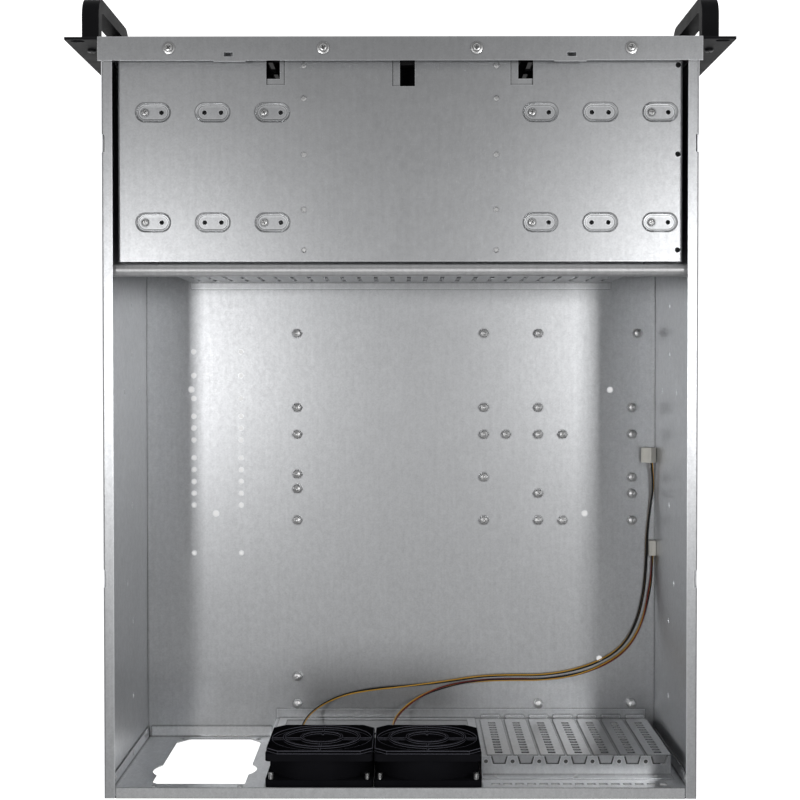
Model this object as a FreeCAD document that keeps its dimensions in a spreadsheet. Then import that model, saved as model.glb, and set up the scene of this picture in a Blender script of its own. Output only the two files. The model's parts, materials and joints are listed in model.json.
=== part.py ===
"""Empty 4U rackmount server case, lid off, as a parametric FreeCAD document.

Millimetres. +Z is up, -Y is the front, and the origin is at the centre of the case's underside.
"""
import FreeCAD, Part
import math
import os
import re
import Sketcher
from FreeCAD import Vector

SIZES = {
    # folded case
    "case_width": 430, "case_depth": 550, "case_height": 176, "skin": 1, "bend_radius": 0.6,
    "wall_flange": 8, "seam": 0.2, "fold": 10, "lid_notch_length": 12.5, "lid_notch_depth": 2.5,
    "floor_hole_radius": 1.9, "wall_hole_radius": 2.1,
    "vent_column_outer": 174.4, "vent_column_inner": 134.6,
    # front plate, frame and rail
    "ear_span": 482.6, "panel_skin": 2, "rail_width": 434.4, "rail_depth": 17.2, "rail_skin": 1,
    "rail_screw_line": 8.3, "rail_screw_far": 165.9, "rail_screw_near": 55,
    "catch_middle": 123.1, "catch_length": 6.4, "catch_width": 3, "catch_line": 12.9, "lip_middle": 122.2,
    "lip_length": 23,
    "rack_hole_span": 465.1, "rack_hole_edge": 5.95, "rack_slot_length": 10.3, "rack_slot_width": 6.8,
    "rack_slot_height": "=(case_height + rail_skin) / 2",
    "rack_hole_rise": "=case_height + rail_skin - 2 * rack_hole_edge",
    # handles
    "handle_inset": 12.7, "handle_middle": "=ear_span / 2 - handle_inset", "handle_width": 12.6,
    "handle_reach": 37.4, "handle_span": 117,
    "handle_low": "=rack_slot_height - handle_span / 2",
    "handle_high": "=rack_slot_height + handle_span / 2",
    "handle_bar": 10, "handle_round": 15,
    # drive bay
    "bay_drop": 12, "bay_height": "=case_height - bay_drop", "bay_width": 410.6, "bay_depth": 153.3,
    "bay_gap": 4, "divider_middle": 70,
    "divider_flange": 12, "window_low": 14, "window_drop": 28, "window_high": "=case_height - window_drop",
    "oval_length": 26, "oval_width": 14.5, "oval_rim": 1.3, "oval_sink": 1.4, "notch_sink": 1.6,
    "oval_hole_gap": 12.1,
    "oval_near": 92.9, "oval_shift": 9.2, "oval_pitch": 43.4, "oval_front": 52, "oval_rows": 79.8,
    # partition and crossbar
    "partition_width": 352, "partition_drop": 14, "partition_height": "=bay_height - partition_drop",
    "partition_foot": 5.5, "partition_gap": 5.2, "bar_width": 8.4, "bar_gap": 2.2,
    "bar_drop": 6, "bar_top": "=case_height - bar_drop", "bar_depth": 12,
    # rear wall
    "fan_size": 80, "fan_depth": 25, "fan_drop": 64, "fan_height": "=case_height - fan_drop",
    "fan_flange": 5.4, "fan_bore": 76,
    "fan_gap": 1, "fan_middle": 20, "fan_hole_pitch": 71.5, "fan_screw_radius": 2.0,
    "supply_left": 186.5, "supply_width": 70, "supply_low": 8, "supply_rise": 133.5,
    "relief_reach": 5, "relief_radius": 24, "relief_left_rise": 96, "relief_right_rise": 94,
    "vent_count": 15, "vent_pitch": 8.95, "vent_height": 142, "vent_start": 71.4,
    # expansion slots and port plate
    "slot_count": 7, "slot_pitch": 20.32, "slot_first": 75.4, "slot_recess": 15.5, "slot_shelf": 120.3,
    "port_shelf": 66, "recess_right": 206, "recess_step": 62, "recess_left": 105,
    "slot_opening": 14.3, "cover_width": 18.4, "cover_skin": 0.9, "slit_count": 13, "slit_pitch": 7.7,
    "slit_low": 19, "slit_width": 5.6, "slit_rise": 4.4, "port_width": 158.75, "port_rise": 44.45,
    "port_low": 5.1, "lug_rise": 2.2, "lug_width": 2.2, "port_middle": 20,
    # board standoffs
    "standoff_flats": 6.4, "standoff_rise": 6.3, "standoff_bore": 1.4, "standoff_thread": 5,
    "board_line": 19.3, "board_hole_back": 10.16, "board_first": 87.5, "board_second_step": 157.48,
    "board_last_step": 281.94, "board_middle_row": 154.94, "board_front_row": 227.33,
    # front fan, buttons and lamps
    "inlet_size": 120, "inlet_depth": 25, "inlet_drop": 94, "inlet_height": "=case_height - inlet_drop",
    "inlet_bore": 116, "inlet_hole_pitch": 105,
    "button_drop": 24, "button_height": "=case_height - button_drop", "button_radius": 5,
    "reset_radius": 2.2, "button_gap": 0.3,
    "button_travel": 1.2, "button_proud": 2, "lamp_radius": 2.4,
    # fasteners and leads
    "screw_radius": 1.5, "screw_head": 3.2, "rail_screw_head": 4.5, "rivet_radius": 2, "lead_radius": 1.2,
}

doc = FreeCAD.newDocument("rack_case")
dims = doc.addObject("Spreadsheet::Sheet", "dims")
for row, (name, value) in enumerate(SIZES.items(), start=1):
    dims.set(f"A{row}", name)
    dims.set(f"B{row}", str(value))
    dims.setAlias(f"B{row}", name)
doc.recompute()

FRONT = "(-case_depth / 2)"
REAR = "(case_depth / 2)"
WALL = "(case_width / 2 - skin)"
REAR_INNER = "(case_depth / 2 - skin)"
FACE = "(case_depth / 2 - skin - slot_recess)"       # inner face of the recessed slot frame
BAY_FRONT = "(panel_skin + skin + bay_gap - case_depth / 2)"
BAY_REAR = "(panel_skin + skin + bay_gap + bay_depth - case_depth / 2)"
PLANES = {"XY": ("XY_Plane", 1), "XZ": ("XZ_Plane", -1), "YZ": ("YZ_Plane", 1)}


def bound(text):
    """The expression with each size's name led by the sheet's own name."""
    return re.sub(r"[a-z][a-z_]+", lambda word: "dims." + word[0] if word[0] in SIZES else word[0],
                  str(text))


def number(text):
    return float(dims.evalExpression(str(text)))


def minus(text):
    return f"-({text})"


# ---------------------------------------------------------------- bodies and sketches

def new_body(label):
    body = doc.addObject("PartDesign::Body", label)
    body.Label = label
    return body


def new_sketch(body, plane, level, origin=("0", "0")):
    """A sketch on the body's own origin plane, moved to a level along it."""
    role, sense = PLANES[plane]
    sketch = body.newObject("Sketcher::SketchObject", body.Name + "_sketch")
    support = [item for item in body.Origin.OriginFeatures if item.Role == role][0]
    sketch.AttachmentSupport = [(support, "")]
    sketch.MapMode = "FlatFace"
    sketch.setExpression("AttachmentOffset.Base.x", bound(origin[0]))
    sketch.setExpression("AttachmentOffset.Base.y", bound(origin[1]))
    sketch.setExpression("AttachmentOffset.Base.z", bound(level if sense > 0 else minus(level)))
    return sketch


def pin_point(sketch, shape, end, across, up):
    """Ties one point of a shape to a place in the sketch."""
    for kind, text in (("DistanceX", across), ("DistanceY", up)):
        index = sketch.addConstraint(Sketcher.Constraint(kind, -1, 1, shape, end, number(text)))
        sketch.setExpression(f"Constraints[{index}]", bound(text))


def set_radius(sketch, shape, radius):
    index = sketch.addConstraint(Sketcher.Constraint("Radius", shape, number(radius)))
    sketch.setExpression(f"Constraints[{index}]", bound(radius))


def polygon(sketch, points):
    places = [Vector(number(across), number(up), 0) for across, up in points]
    lines = []
    for start, end in zip(places, places[1:] + places[:1]):
        lines.append(sketch.addGeometry(Part.LineSegment(start, end), False))
    for line, following in zip(lines, lines[1:] + lines[:1]):
        sketch.addConstraint(Sketcher.Constraint("Coincident", line, 2, following, 1))
    for line, (across, up) in zip(lines, points):
        pin_point(sketch, line, 1, across, up)


def rectangle(sketch, left, low, right, high):
    polygon(sketch, [(left, low), (right, low), (right, high), (left, high)])


def circle(sketch, across, up, radius):
    centre = Vector(number(across), number(up), 0)
    shape = sketch.addGeometry(Part.Circle(centre, Vector(0, 0, 1), number(radius)), False)
    pin_point(sketch, shape, 3, across, up)
    set_radius(sketch, shape, radius)


def oblong(sketch, across, up, length, width):
    """A slot with round ends, along the sketch's first axis."""
    reach = f"(({length}) - ({width})) / 2"
    radius = f"({width}) / 2"
    ends = [(f"({across}) - {reach}", 90, 270), (f"({across}) + {reach}", -90, 90)]
    arcs = []
    for place, start, stop in ends:
        ring = Part.Circle(Vector(number(place), number(up), 0), Vector(0, 0, 1), number(radius))
        turn = Part.ArcOfCircle(ring, start * 0.0174532925, stop * 0.0174532925)
        arcs.append(sketch.addGeometry(turn, False))
    left, right = arcs
    centre_x, centre_y, half = number(across), number(up), number(radius)
    run = number(reach)
    low = sketch.addGeometry(Part.LineSegment(Vector(centre_x - run, centre_y - half, 0),
                                              Vector(centre_x + run, centre_y - half, 0)), False)
    high = sketch.addGeometry(Part.LineSegment(Vector(centre_x + run, centre_y + half, 0),
                                               Vector(centre_x - run, centre_y + half, 0)), False)
    for first, end, second, start in ((left, 2, low, 1), (low, 2, right, 1), (right, 2, high, 1),
                                      (high, 2, left, 1)):
        sketch.addConstraint(Sketcher.Constraint("Tangent", first, end, second, start))
    pin_point(sketch, left, 3, ends[0][0], up)
    pin_point(sketch, right, 3, ends[1][0], up)
    set_radius(sketch, left, radius)


def ring_sector(sketch, inner, outer, half_angle):
    """A quarter of a round grille's slot, about the sketch's second axis."""
    start, stop = 1.5707963 - half_angle, 1.5707963 + half_angle
    arcs = []
    for radius in (inner, outer):
        ring = Part.Circle(Vector(0, 0, 0), Vector(0, 0, 1), number(radius))
        arcs.append(sketch.addGeometry(Part.ArcOfCircle(ring, start, stop), False))
        set_radius(sketch, arcs[-1], radius)
        sketch.addConstraint(Sketcher.Constraint("Coincident", arcs[-1], 3, -1, 1))
    low, high = arcs
    for end in (1, 2):
        near, far = sketch.getPoint(low, end), sketch.getPoint(high, end)
        side = sketch.addGeometry(Part.LineSegment(near, far), False)
        sketch.addConstraint(Sketcher.Constraint("Coincident", side, 1, low, end))
        sketch.addConstraint(Sketcher.Constraint("Coincident", side, 2, high, end))
        sketch.addConstraint(Sketcher.Constraint("Angle", side, (start, stop)[end - 1]))


def extrude(body, kind, sketch, thickness, both_ways=True):
    feature = body.newObject("PartDesign::" + kind, body.Name + "_" + kind.lower())
    feature.Profile = sketch
    if both_ways:
        feature.SideType = "Symmetric"
    feature.setExpression("Length", bound(thickness))
    sketch.Visibility = False
    return feature


def pad(body, plane, level, thickness, draw, origin=("0", "0")):
    sketch = new_sketch(body, plane, level, origin)
    draw(sketch)
    return extrude(body, "Pad", sketch, thickness)


def pocket(body, plane, level, thickness, draw, origin=("0", "0")):
    sketch = new_sketch(body, plane, level, origin)
    draw(sketch)
    return extrude(body, "Pocket", sketch, thickness)


def repeat(body, feature, axis, length, count):
    """A row of a feature along its sketch's H_Axis or V_Axis."""
    row = body.newObject("PartDesign::LinearPattern", body.Name + "_row")
    row.Originals = [feature]
    row.Direction = (feature.Profile[0], [axis])
    row.setExpression("Length", bound(length))
    row.setExpression("Occurrences", bound(count))
    body.Tip = row
    return row


def turn_about(body, feature, count):
    """Copies of a feature in a circle about its sketch's normal."""
    ring = body.newObject("PartDesign::PolarPattern", body.Name + "_ring")
    ring.Originals = [feature]
    ring.Axis = (feature.Profile[0], ["N_Axis"])
    ring.Angle = 360
    ring.setExpression("Occurrences", bound(count))
    body.Tip = ring
    return ring


def round_edges(body, radius, test):
    """A fillet on the body's straight edges whose direction and middle pass a test."""
    doc.recompute()
    base = body.Tip
    names = []
    for index, edge in enumerate(base.Shape.Edges, start=1):
        if edge.Curve.TypeId == "Part::GeomLine":
            run = edge.tangentAt(edge.FirstParameter)
            if test(run, edge.CenterOfMass):
                names.append(f"Edge{index}")
    fillet = body.newObject("PartDesign::Fillet", body.Name + "_fillet")
    fillet.Base = (base, names)
    fillet.setExpression("Radius", bound(radius))
    return fillet


def bevel_edges(body, size, test):
    """A chamfer on every edge of the body whose middle passes a test."""
    doc.recompute()
    base = body.Tip
    names = [f"Edge{index}" for index, edge in enumerate(base.Shape.Edges, start=1)
             if test(edge.BoundBox.Center)]
    bevel = body.newObject("PartDesign::Chamfer", body.Name + "_bevel")
    bevel.Base = (base, names)
    bevel.setExpression("Size", bound(size))
    return bevel


def near(value, text):
    return abs(value - number(text)) < 0.01


# ---------------------------------------------------------------- primitives and groups

def place(item, at, axis=(0, 0, 1)):
    """Binds a primitive's position, with its own Z turned to the axis."""
    item.Placement = FreeCAD.Placement(Vector(), FreeCAD.Rotation(Vector(0, 0, 1), Vector(*axis)))
    for letter, text in zip("xyz", at):
        item.setExpression(f"Placement.Base.{letter}", bound(text))


def cylinder(radius, height, at, axis=(0, 0, 1)):
    item = doc.addObject("Part::Cylinder", "cylinder")
    item.setExpression("Radius", bound(radius))
    item.setExpression("Height", bound(height))
    place(item, at, axis)
    return item


def cone(low_radius, high_radius, height, at, axis=(0, 0, 1)):
    item = doc.addObject("Part::Cone", "cone")
    item.setExpression("Radius1", bound(low_radius))
    item.setExpression("Radius2", bound(high_radius))
    item.setExpression("Height", bound(height))
    place(item, at, axis)
    return item


def fuse(label, items):
    joined = doc.addObject("Part::MultiFuse", label)
    joined.Shapes = items
    joined.Label = label
    return joined


def cut(label, base, tool):
    left_over = doc.addObject("Part::Cut", label)
    left_over.Base = base
    left_over.Tool = tool
    left_over.Label = label
    return left_over


def group(label, items):
    """Like fasteners, each a solid of its own, kept together under one name."""
    together = doc.addObject("Part::Compound", label)
    together.Links = items
    together.Label = label
    return together


def back_from(at, axis, distance):
    """The point a distance behind a place, against an axis."""
    return tuple(f"({text}) - ({step}) * ({distance})" for text, step in zip(at, axis))


def screws(label, places, axis, length, radius="screw_radius", head="screw_head"):
    """Pan-head screws: a place is under the head, and the axis points out of the head."""
    items = []
    for at in places:
        shank = cylinder(radius, f"({length}) + 0.5", back_from(at, axis, length), axis)
        rim = cylinder(head, "0.8", at, axis)
        crown = cone(head, f"({head}) * 0.72", "1.2", back_from(at, axis, "-0.8"), axis)
        items.append(fuse("screw", [shank, rim, crown]))
    return group(label, items)


def rivets(label, places, axis):
    """Low rivet heads that sit on the sheet."""
    return group(label, [cone("rivet_radius", "rivet_radius * 0.55", "0.9", at, axis) for at in places])


# ---------------------------------------------------------------- folded case

VENT_ROWS = [326.3, 306.3, 287, 272, 262, 252, 237, 227, 217, 207, 197, 156.6]   # back from the rear wall
FLOOR_HOLES = [(176.5, 294.5), (156, 190), (-155, 190), (-176, 294.2), (-167.5, 67.3)]
WALL_HOLES = [(362, 67), (322.7, 67), (293.5, 34), (293.5, 97.5), (203, 67), (143.4, 87.6), (110.5, 65.5),
              (50.5, 65.5)]
LID_NOTCHES = ["70 - case_depth / 2", "case_depth / 2 - 166"]


def chassis_tray():
    """Floor and side walls, folded from one sheet, with inward top flanges."""
    body = new_body("chassis_tray")
    wide, tall = "case_width / 2", "case_height"
    half = [(wide, "0"), (wide, tall), (f"{wide} - wall_flange", tall),
            (f"{wide} - wall_flange", f"{tall} - skin"),
            (WALL, f"{tall} - skin"), (WALL, "skin")]
    other = [(minus(across), up) for across, up in reversed(half)]
    pad(body, "XZ", "panel_skin / 2", "case_depth - panel_skin",
        lambda sketch: polygon(sketch, half + other))
    along = lambda run: abs(run.y) > 0.99
    outer = lambda run, mid: along(run) and near(abs(mid.x), wide) and (
        near(mid.z, "0") or near(mid.z, tall))
    round_edges(body, "bend_radius + skin", outer)
    inner = lambda run, mid: along(run) and near(abs(mid.x), WALL) and (
        near(mid.z, "skin") or near(mid.z, "case_height - skin"))
    round_edges(body, "bend_radius", inner)

    def notches(sketch):
        for start in LID_NOTCHES:
            for left, right in ((f"{wide} - lid_notch_depth", f"{wide} + 1"),
                                (f"-{wide} - 1", f"-{wide} + lid_notch_depth")):
                rectangle(sketch, left, start, right, f"{start} + lid_notch_length")
    pocket(body, "XY", tall, "2 * (lid_notch_depth + 1)", notches)

    def floor_holes(sketch):
        for column in ("vent_column_outer", "vent_column_inner"):
            for row_back in VENT_ROWS:
                circle(sketch, column, f"{REAR} - {row_back}", "floor_hole_radius")
        for across, back in FLOOR_HOLES:
            circle(sketch, across, f"{REAR} - {back}", "floor_hole_radius * 1.25")
    pocket(body, "XY", "skin / 2", "2 * skin", floor_holes)

    def wall_holes(sketch):
        for back, up in WALL_HOLES:
            circle(sketch, f"{REAR} - {back}", up, "wall_hole_radius")
    pocket(body, "YZ", "0", "case_width + 2", wall_holes)
    return body


# ---------------------------------------------------------------- rear wall

FANS = {"left": "fan_middle + (fan_size + fan_gap) / 2", "right": "fan_middle - (fan_size + fan_gap) / 2"}
GRILLE_RINGS = [(12, 18.5), (21, 27.5), (30, 36.5)]
GRILLE_HALF_ANGLE = 0.68
SUPPLY_SCREWS = [("supply_left - 3", "supply_low + supply_rise + 6.5"),
                 ("supply_left - 67", "supply_low + supply_rise + 6.5"),
                 ("supply_left - 3", "supply_low + 2"), ("supply_left - 67", "supply_low + 2")]


def supply_outline(sketch):
    """Cut-out behind the power supply, cornered off at the bottom."""
    left, right = "supply_left", "(supply_left - supply_width)"
    low, high = "supply_low", "(supply_low + supply_rise)"
    polygon(sketch, [(right, f"{low} + 12"), (f"{right} + 10", low), (f"{left} - 10", low),
                     (left, f"{low} + 12"),
                     (left, f"{high} - 4"), (f"{left} - 4", high), (right, high)])


def rear_panel():
    body = new_body("rear_panel")
    wide = "(case_width / 2 - skin - seam)"
    narrow = "(case_width / 2 - wall_flange - 3 * seam)"
    top = "case_height"
    middle = "(case_depth / 2 - skin / 2)"
    half = [(wide, "skin"), (wide, f"{top} - skin - seam"), (narrow, f"{top} - skin - seam"), (narrow, top)]
    other = [(minus(across), up) for across, up in reversed(half)]
    pad(body, "XZ", middle, "skin", lambda sketch: polygon(sketch, half + other))
    fold_start = "(case_depth / 2 - fold)"
    pad(body, "XY", f"{top} - skin / 2", "skin",
        lambda sketch: rectangle(sketch, minus(narrow), f"{fold_start} + 2", narrow, REAR_INNER))
    for side in (1, -1):
        edge = wide if side > 0 else minus(wide)
        back = f"({edge}) - ({side}) * skin"
        low, high = sorted((edge, back), key=number)
        pad(body, "YZ", f"(({low}) + ({high})) / 2", "skin",
            lambda sketch: rectangle(sketch, fold_start, "skin + 3", REAR_INNER, f"{top} - 8"))
    pad(body, "XY", "skin * 1.5", "skin",
        lambda sketch: rectangle(sketch, "recess_left + 4", fold_start, f"{wide} - skin - 2", REAR_INNER))

    def recess(sketch):
        inset = "skin"
        polygon(sketch, [(f"{inset} - recess_right", "skin + 1.5"), (f"recess_left - {inset}", "skin + 1.5"),
                         (f"recess_left - {inset}", "port_shelf - skin"),
                         (f"-recess_step - {inset}", "port_shelf - skin"),
                         (f"-recess_step - {inset}", "slot_shelf - skin"),
                         (f"{inset} - recess_right", "slot_shelf - skin")])
    pocket(body, "XZ", middle, "3 * skin", recess)
    pocket(body, "XZ", middle, "3 * skin", supply_outline)

    for across, rise in (("supply_left + relief_reach - relief_radius", "relief_left_rise"),
                         ("supply_left - supply_width - relief_reach + relief_radius", "relief_right_rise")):
        pocket(body, "XZ", middle, "3 * skin",
               lambda sketch: circle(sketch, across, f"supply_low + {rise}", "relief_radius"))

    def screw_holes(sketch):
        for across, up in SUPPLY_SCREWS:
            circle(sketch, across, up, "2")
        for centre in FANS.values():
            for across in (-1, 1):
                for up in (-1, 1):
                    circle(sketch, f"{centre} + ({across}) * fan_hole_pitch / 2",
                           f"fan_height + ({up}) * fan_hole_pitch / 2", "fan_screw_radius + 0.2")
    pocket(body, "XZ", middle, "3 * skin", screw_holes)

    for centre in FANS.values():
        def grille(sketch):
            for inner, outer in GRILLE_RINGS:
                ring_sector(sketch, f"{inner}", f"{outer}", GRILLE_HALF_ANGLE)
        quarter = pocket(body, "XZ", middle, "3 * skin", grille, (centre, "fan_height"))
        turn_about(body, quarter, "4")

    slot_vent = pocket(body, "XZ", middle, "3 * skin",
                       lambda sketch: rectangle(sketch, "-vent_start - 3", "vent_height - 2.4",
                                                "-vent_start + 3",
                                                "vent_height + 2.4"))
    row = repeat(body, slot_vent, "H_Axis", "vent_pitch * (vent_count - 1)", "vent_count")
    row.Reversed = True
    return body


def expansion_slot_frame():
    """The sheet-metal recess that carries the expansion slots and the port opening."""
    body = new_body("expansion_slot_frame")
    right, step, left = "-recess_right", "-recess_step", "recess_left"
    face_middle = f"({FACE} + skin / 2)"
    depth_middle = f"(({FACE} + skin) + {REAR_INNER}) / 2"
    depth = "(slot_recess - skin)"

    def face(sketch):
        polygon(sketch, [(right, "skin"), (left, "skin"), (left, "port_shelf"), (step, "port_shelf"),
                         (step, "slot_shelf"), (right, "slot_shelf")])
        rectangle(sketch, "port_middle - port_width / 2", "port_low", "port_middle + port_width / 2",
                  "port_low + port_rise")
    pad(body, "XZ", face_middle, "skin", face)
    opening = pocket(body, "XZ", face_middle, "2 * skin",
                     lambda sketch: rectangle(sketch, "-slot_first - slot_opening / 2", "skin + 7",
                                              "-slot_first + slot_opening / 2", "slot_shelf - 8"))
    row = repeat(body, opening, "H_Axis", "slot_pitch * (slot_count - 1)", "slot_count")
    row.Reversed = True
    pad(body, "XY", "slot_shelf - skin / 2", "skin",
        lambda sketch: rectangle(sketch, right, f"{FACE} + skin / 2", step, REAR_INNER))
    pad(body, "XY", "port_shelf - skin / 2", "skin",
        lambda sketch: rectangle(sketch, f"{step} - skin", f"{FACE} + skin / 2", left, REAR_INNER))
    for level, low, high in ((f"{right} + skin / 2", "skin", "slot_shelf"),
                             (f"{left} - skin / 2", "skin", "port_shelf"),
                             (f"{step} - skin / 2", "port_shelf - skin", "slot_shelf")):
        pad(body, "YZ", level, "skin",
            lambda sketch: rectangle(sketch, f"{FACE} + skin / 2", low, REAR_INNER, high))
    pad(body, "XZ", f"{REAR_INNER} - skin / 2", "skin",
        lambda sketch: rectangle(sketch, right, "slot_shelf - skin", step, "slot_shelf + 9"))
    pad(body, "XY", "skin * 1.5", "skin",
        lambda sketch: rectangle(sketch, right, f"{FACE} - 8", left, f"{FACE} + skin / 2"))

    lug = pad(body, "XY", "2 * skin + lug_rise / 2 - 0.1", "lug_rise + 0.2",
              lambda sketch: oblong(sketch, "-slot_first", f"{FACE} - cover_skin - lug_width / 2 - 0.3",
                                    "15.6", "lug_width"))
    row = repeat(body, lug, "H_Axis", "slot_pitch * (slot_count - 1)", "slot_count")
    row.Reversed = True

    def tab_notch(sketch):
        wide, thin = "(-slot_first + 6.8)", "(-slot_first + 4.8)"
        polygon(sketch, [(f"-2 * slot_first - {wide}", f"{FACE} - 0.5"), (wide, f"{FACE} - 0.5"),
                         (thin, f"{FACE} + 6.6"), (f"-2 * slot_first - {thin}", f"{FACE} + 6.6")])
    notch = pocket(body, "XY", "slot_shelf", "2 * skin + 0.02", tab_notch)
    row = repeat(body, notch, "H_Axis", "slot_pitch * (slot_count - 1)", "slot_count")
    row.Reversed = True
    hole = pocket(body, "XY", "slot_shelf", "4 * skin",
                  lambda sketch: circle(sketch, "-slot_first + slot_pitch / 2", f"{FACE} + 4.4", "1.6"))
    row = repeat(body, hole, "H_Axis", "slot_pitch * (slot_count - 1)", "slot_count")
    row.Reversed = True
    return body


def slot_cover(index):
    """One vented blanking cover: a flat plate with a trapezoid tab folded onto the shelf."""
    body = new_body(f"slot_cover_{index + 1}")
    centre = f"(-slot_first - {index} * slot_pitch)"
    half = "cover_width / 2"
    middle = f"{FACE} - cover_skin / 2"
    pad(body, "XZ", middle, "cover_skin",
        lambda sketch: polygon(sketch, [(f"{centre} - 5", "2 * skin + 0.3"),
                                        (f"{centre} + 5", "2 * skin + 0.3"),
                                        (f"{centre} + {half}", "skin + 7"),
                                        (f"{centre} + {half}", "slot_shelf"),
                                        (f"{centre} - {half}", "slot_shelf"),
                                        (f"{centre} - {half}", "skin + 7")]))
    pad(body, "XY", "slot_shelf - cover_skin / 2", "cover_skin",
        lambda sketch: polygon(sketch, [(f"{centre} - 5.9", f"{FACE} - cover_skin"),
                                        (f"{centre} + 5.9", f"{FACE} - cover_skin"),
                                        (f"{centre} + 3.9", f"{FACE} + 5.6"),
                                        (f"{centre} - 3.9", f"{FACE} + 5.6")]))
    slit = pocket(body, "XZ", middle, "3 * cover_skin",
                  lambda sketch: rectangle(sketch, f"{centre} - slit_width / 2", "slit_low",
                                           f"{centre} + slit_width / 2", "slit_low + slit_rise"))
    repeat(body, slit, "V_Axis", "slit_pitch * (slit_count - 1)", "slit_count")
    return body


def port_plate():
    """Blank plate over the board's port opening, with a stiffening panel pressed in it."""
    body = new_body("port_plate")
    middle = f"({FACE} - 0.4)"
    edge = "4"
    low, high = "(port_low - 2.5)", "(port_low + port_rise + 4)"
    left, right = "(port_middle - port_width / 2 - 3)", "(port_middle + port_width / 2 + 3)"
    pad(body, "XZ", middle, "0.8", lambda sketch: rectangle(sketch, left, low, right, high))
    pocket(body, "XZ", f"{FACE} - 0.8", "0.6",
           lambda sketch: rectangle(sketch, f"{left} + {edge} + 3", f"{low} + {edge} + 3",
                                    f"{right} - {edge} - 3",
                                    f"{high} - {edge}"))
    return body


# ---------------------------------------------------------------- fans

def fan_frame(label, centre, height, start, size, depth, bore, hole_pitch, flange):
    """A square axial fan's frame: two flanges, a round barrel, and the motor's seat on four arms."""
    body = new_body(label)
    origin = (centre, height)
    far = f"(({start}) + ({depth}))"
    half = f"(({size}) / 2)"

    def square(sketch):
        polygon(sketch, [(f"-{half}", f"-{half}"), (half, f"-{half}"), (half, half), (f"-{half}", half)])
        circle(sketch, "0", "0", f"({bore}) / 2")
    for level in (f"({start}) + ({flange}) / 2", f"{far} - ({flange}) / 2"):
        pad(body, "XZ", level, flange, square, origin)

    def barrel(sketch):
        circle(sketch, "0", "0", f"{half} - 0.4")
        circle(sketch, "0", "0", f"({bore}) / 2")
    pad(body, "XZ", f"(({start}) + {far}) / 2", f"({depth}) - ({flange})", barrel, origin)
    corner = lambda run, mid: abs(run.y) > 0.99 and abs(abs(mid.x - number(centre)) - number(half)) < 0.01
    round_edges(body, "4", corner)
    seat = f"(({size}) * 0.2)"
    for across, up in ((1, 0), (0, 1)):
        wide = f"({across} * (({bore}) / 2 + 0.6) + {up} * 1.4)"
        tall = f"({up} * (({bore}) / 2 + 0.6) + {across} * 1.4)"
        pad(body, "XZ", f"{far} - 2", "3",
            lambda sketch: rectangle(sketch, minus(wide), minus(tall), wide, tall), origin)
    pad(body, "XZ", f"{far} - 2.5", "5", lambda sketch: circle(sketch, "0", "0", seat), origin)
    pad(body, "XZ", f"{far} - 8", "8", lambda sketch: circle(sketch, "0", "0", "3"), origin)
    pocket(body, "XZ", f"{far} - 7", "12", lambda sketch: circle(sketch, "0", "0", "1.55"), origin)

    def holes(sketch):
        for across in (-1, 1):
            for up in (-1, 1):
                circle(sketch, f"({across}) * ({hole_pitch}) / 2", f"({up}) * ({hole_pitch}) / 2", "2.15")
    pocket(body, "XZ", f"(({start}) + {far}) / 2", f"2 * ({depth})", holes, origin)
    return body


def fan_rotor(label, centre, height, start, size, depth, bore, blades):
    """Hub, pitched blades trimmed to a circle, and the shaft that runs in the frame's seat."""
    body = new_body(label)
    origin = (centre, height)
    far = f"(({start}) + ({depth}))"
    hub = f"(({size}) * 0.2)"
    hub_front, hub_rear = f"(({start}) + 1.5)", f"({far} - 5.6)"
    drum = pad(body, "XZ", f"({hub_front} + {hub_rear}) / 2", f"{hub_rear} - {hub_front}",
               lambda sketch: circle(sketch, "0", "0", hub), origin)
    pocket(body, "XZ", hub_rear, "14", lambda sketch: circle(sketch, "0", "0", f"{hub} - 1.6"), origin)
    pad(body, "XZ", f"{far} - 7.5", "11", lambda sketch: circle(sketch, "0", "0", "1.5"), origin)
    middle = f"({hub_front} + {hub_rear}) / 2"
    sections = []
    chords = ((f"{hub} - 1", 6.2, 5.6), (f"({bore}) / 2 + 1", 11.5, 4.6))
    for reach, across, along in chords:
        sketch = new_sketch(body, "YZ", f"({centre}) + {reach}", (middle, height))
        slope = [(-along, -across), (-along + 1.3, -across - 0.6), (along, across),
                 (along - 1.3, across + 0.6)]
        polygon(sketch, [(f"{first}", f"{second}") for first, second in slope])
        sections.append(sketch)
    blade = body.newObject("PartDesign::AdditiveLoft", label + "_blade")
    blade.Profile = sections[0]
    blade.Sections = [sections[1]]
    blade.Ruled = True
    ring = body.newObject("PartDesign::PolarPattern", label + "_blades")
    ring.Originals = [blade]
    ring.Axis = (drum.Profile[0], ["N_Axis"])
    ring.Angle = 360
    ring.Occurrences = blades
    body.Tip = ring

    def outside(sketch):
        circle(sketch, "0", "0", f"({bore}) / 2 + 20")
        circle(sketch, "0", "0", f"({bore}) / 2 - 1")
    pocket(body, "XZ", f"(({start}) + {far}) / 2", f"2 * ({depth})", outside, origin)
    return body


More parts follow.
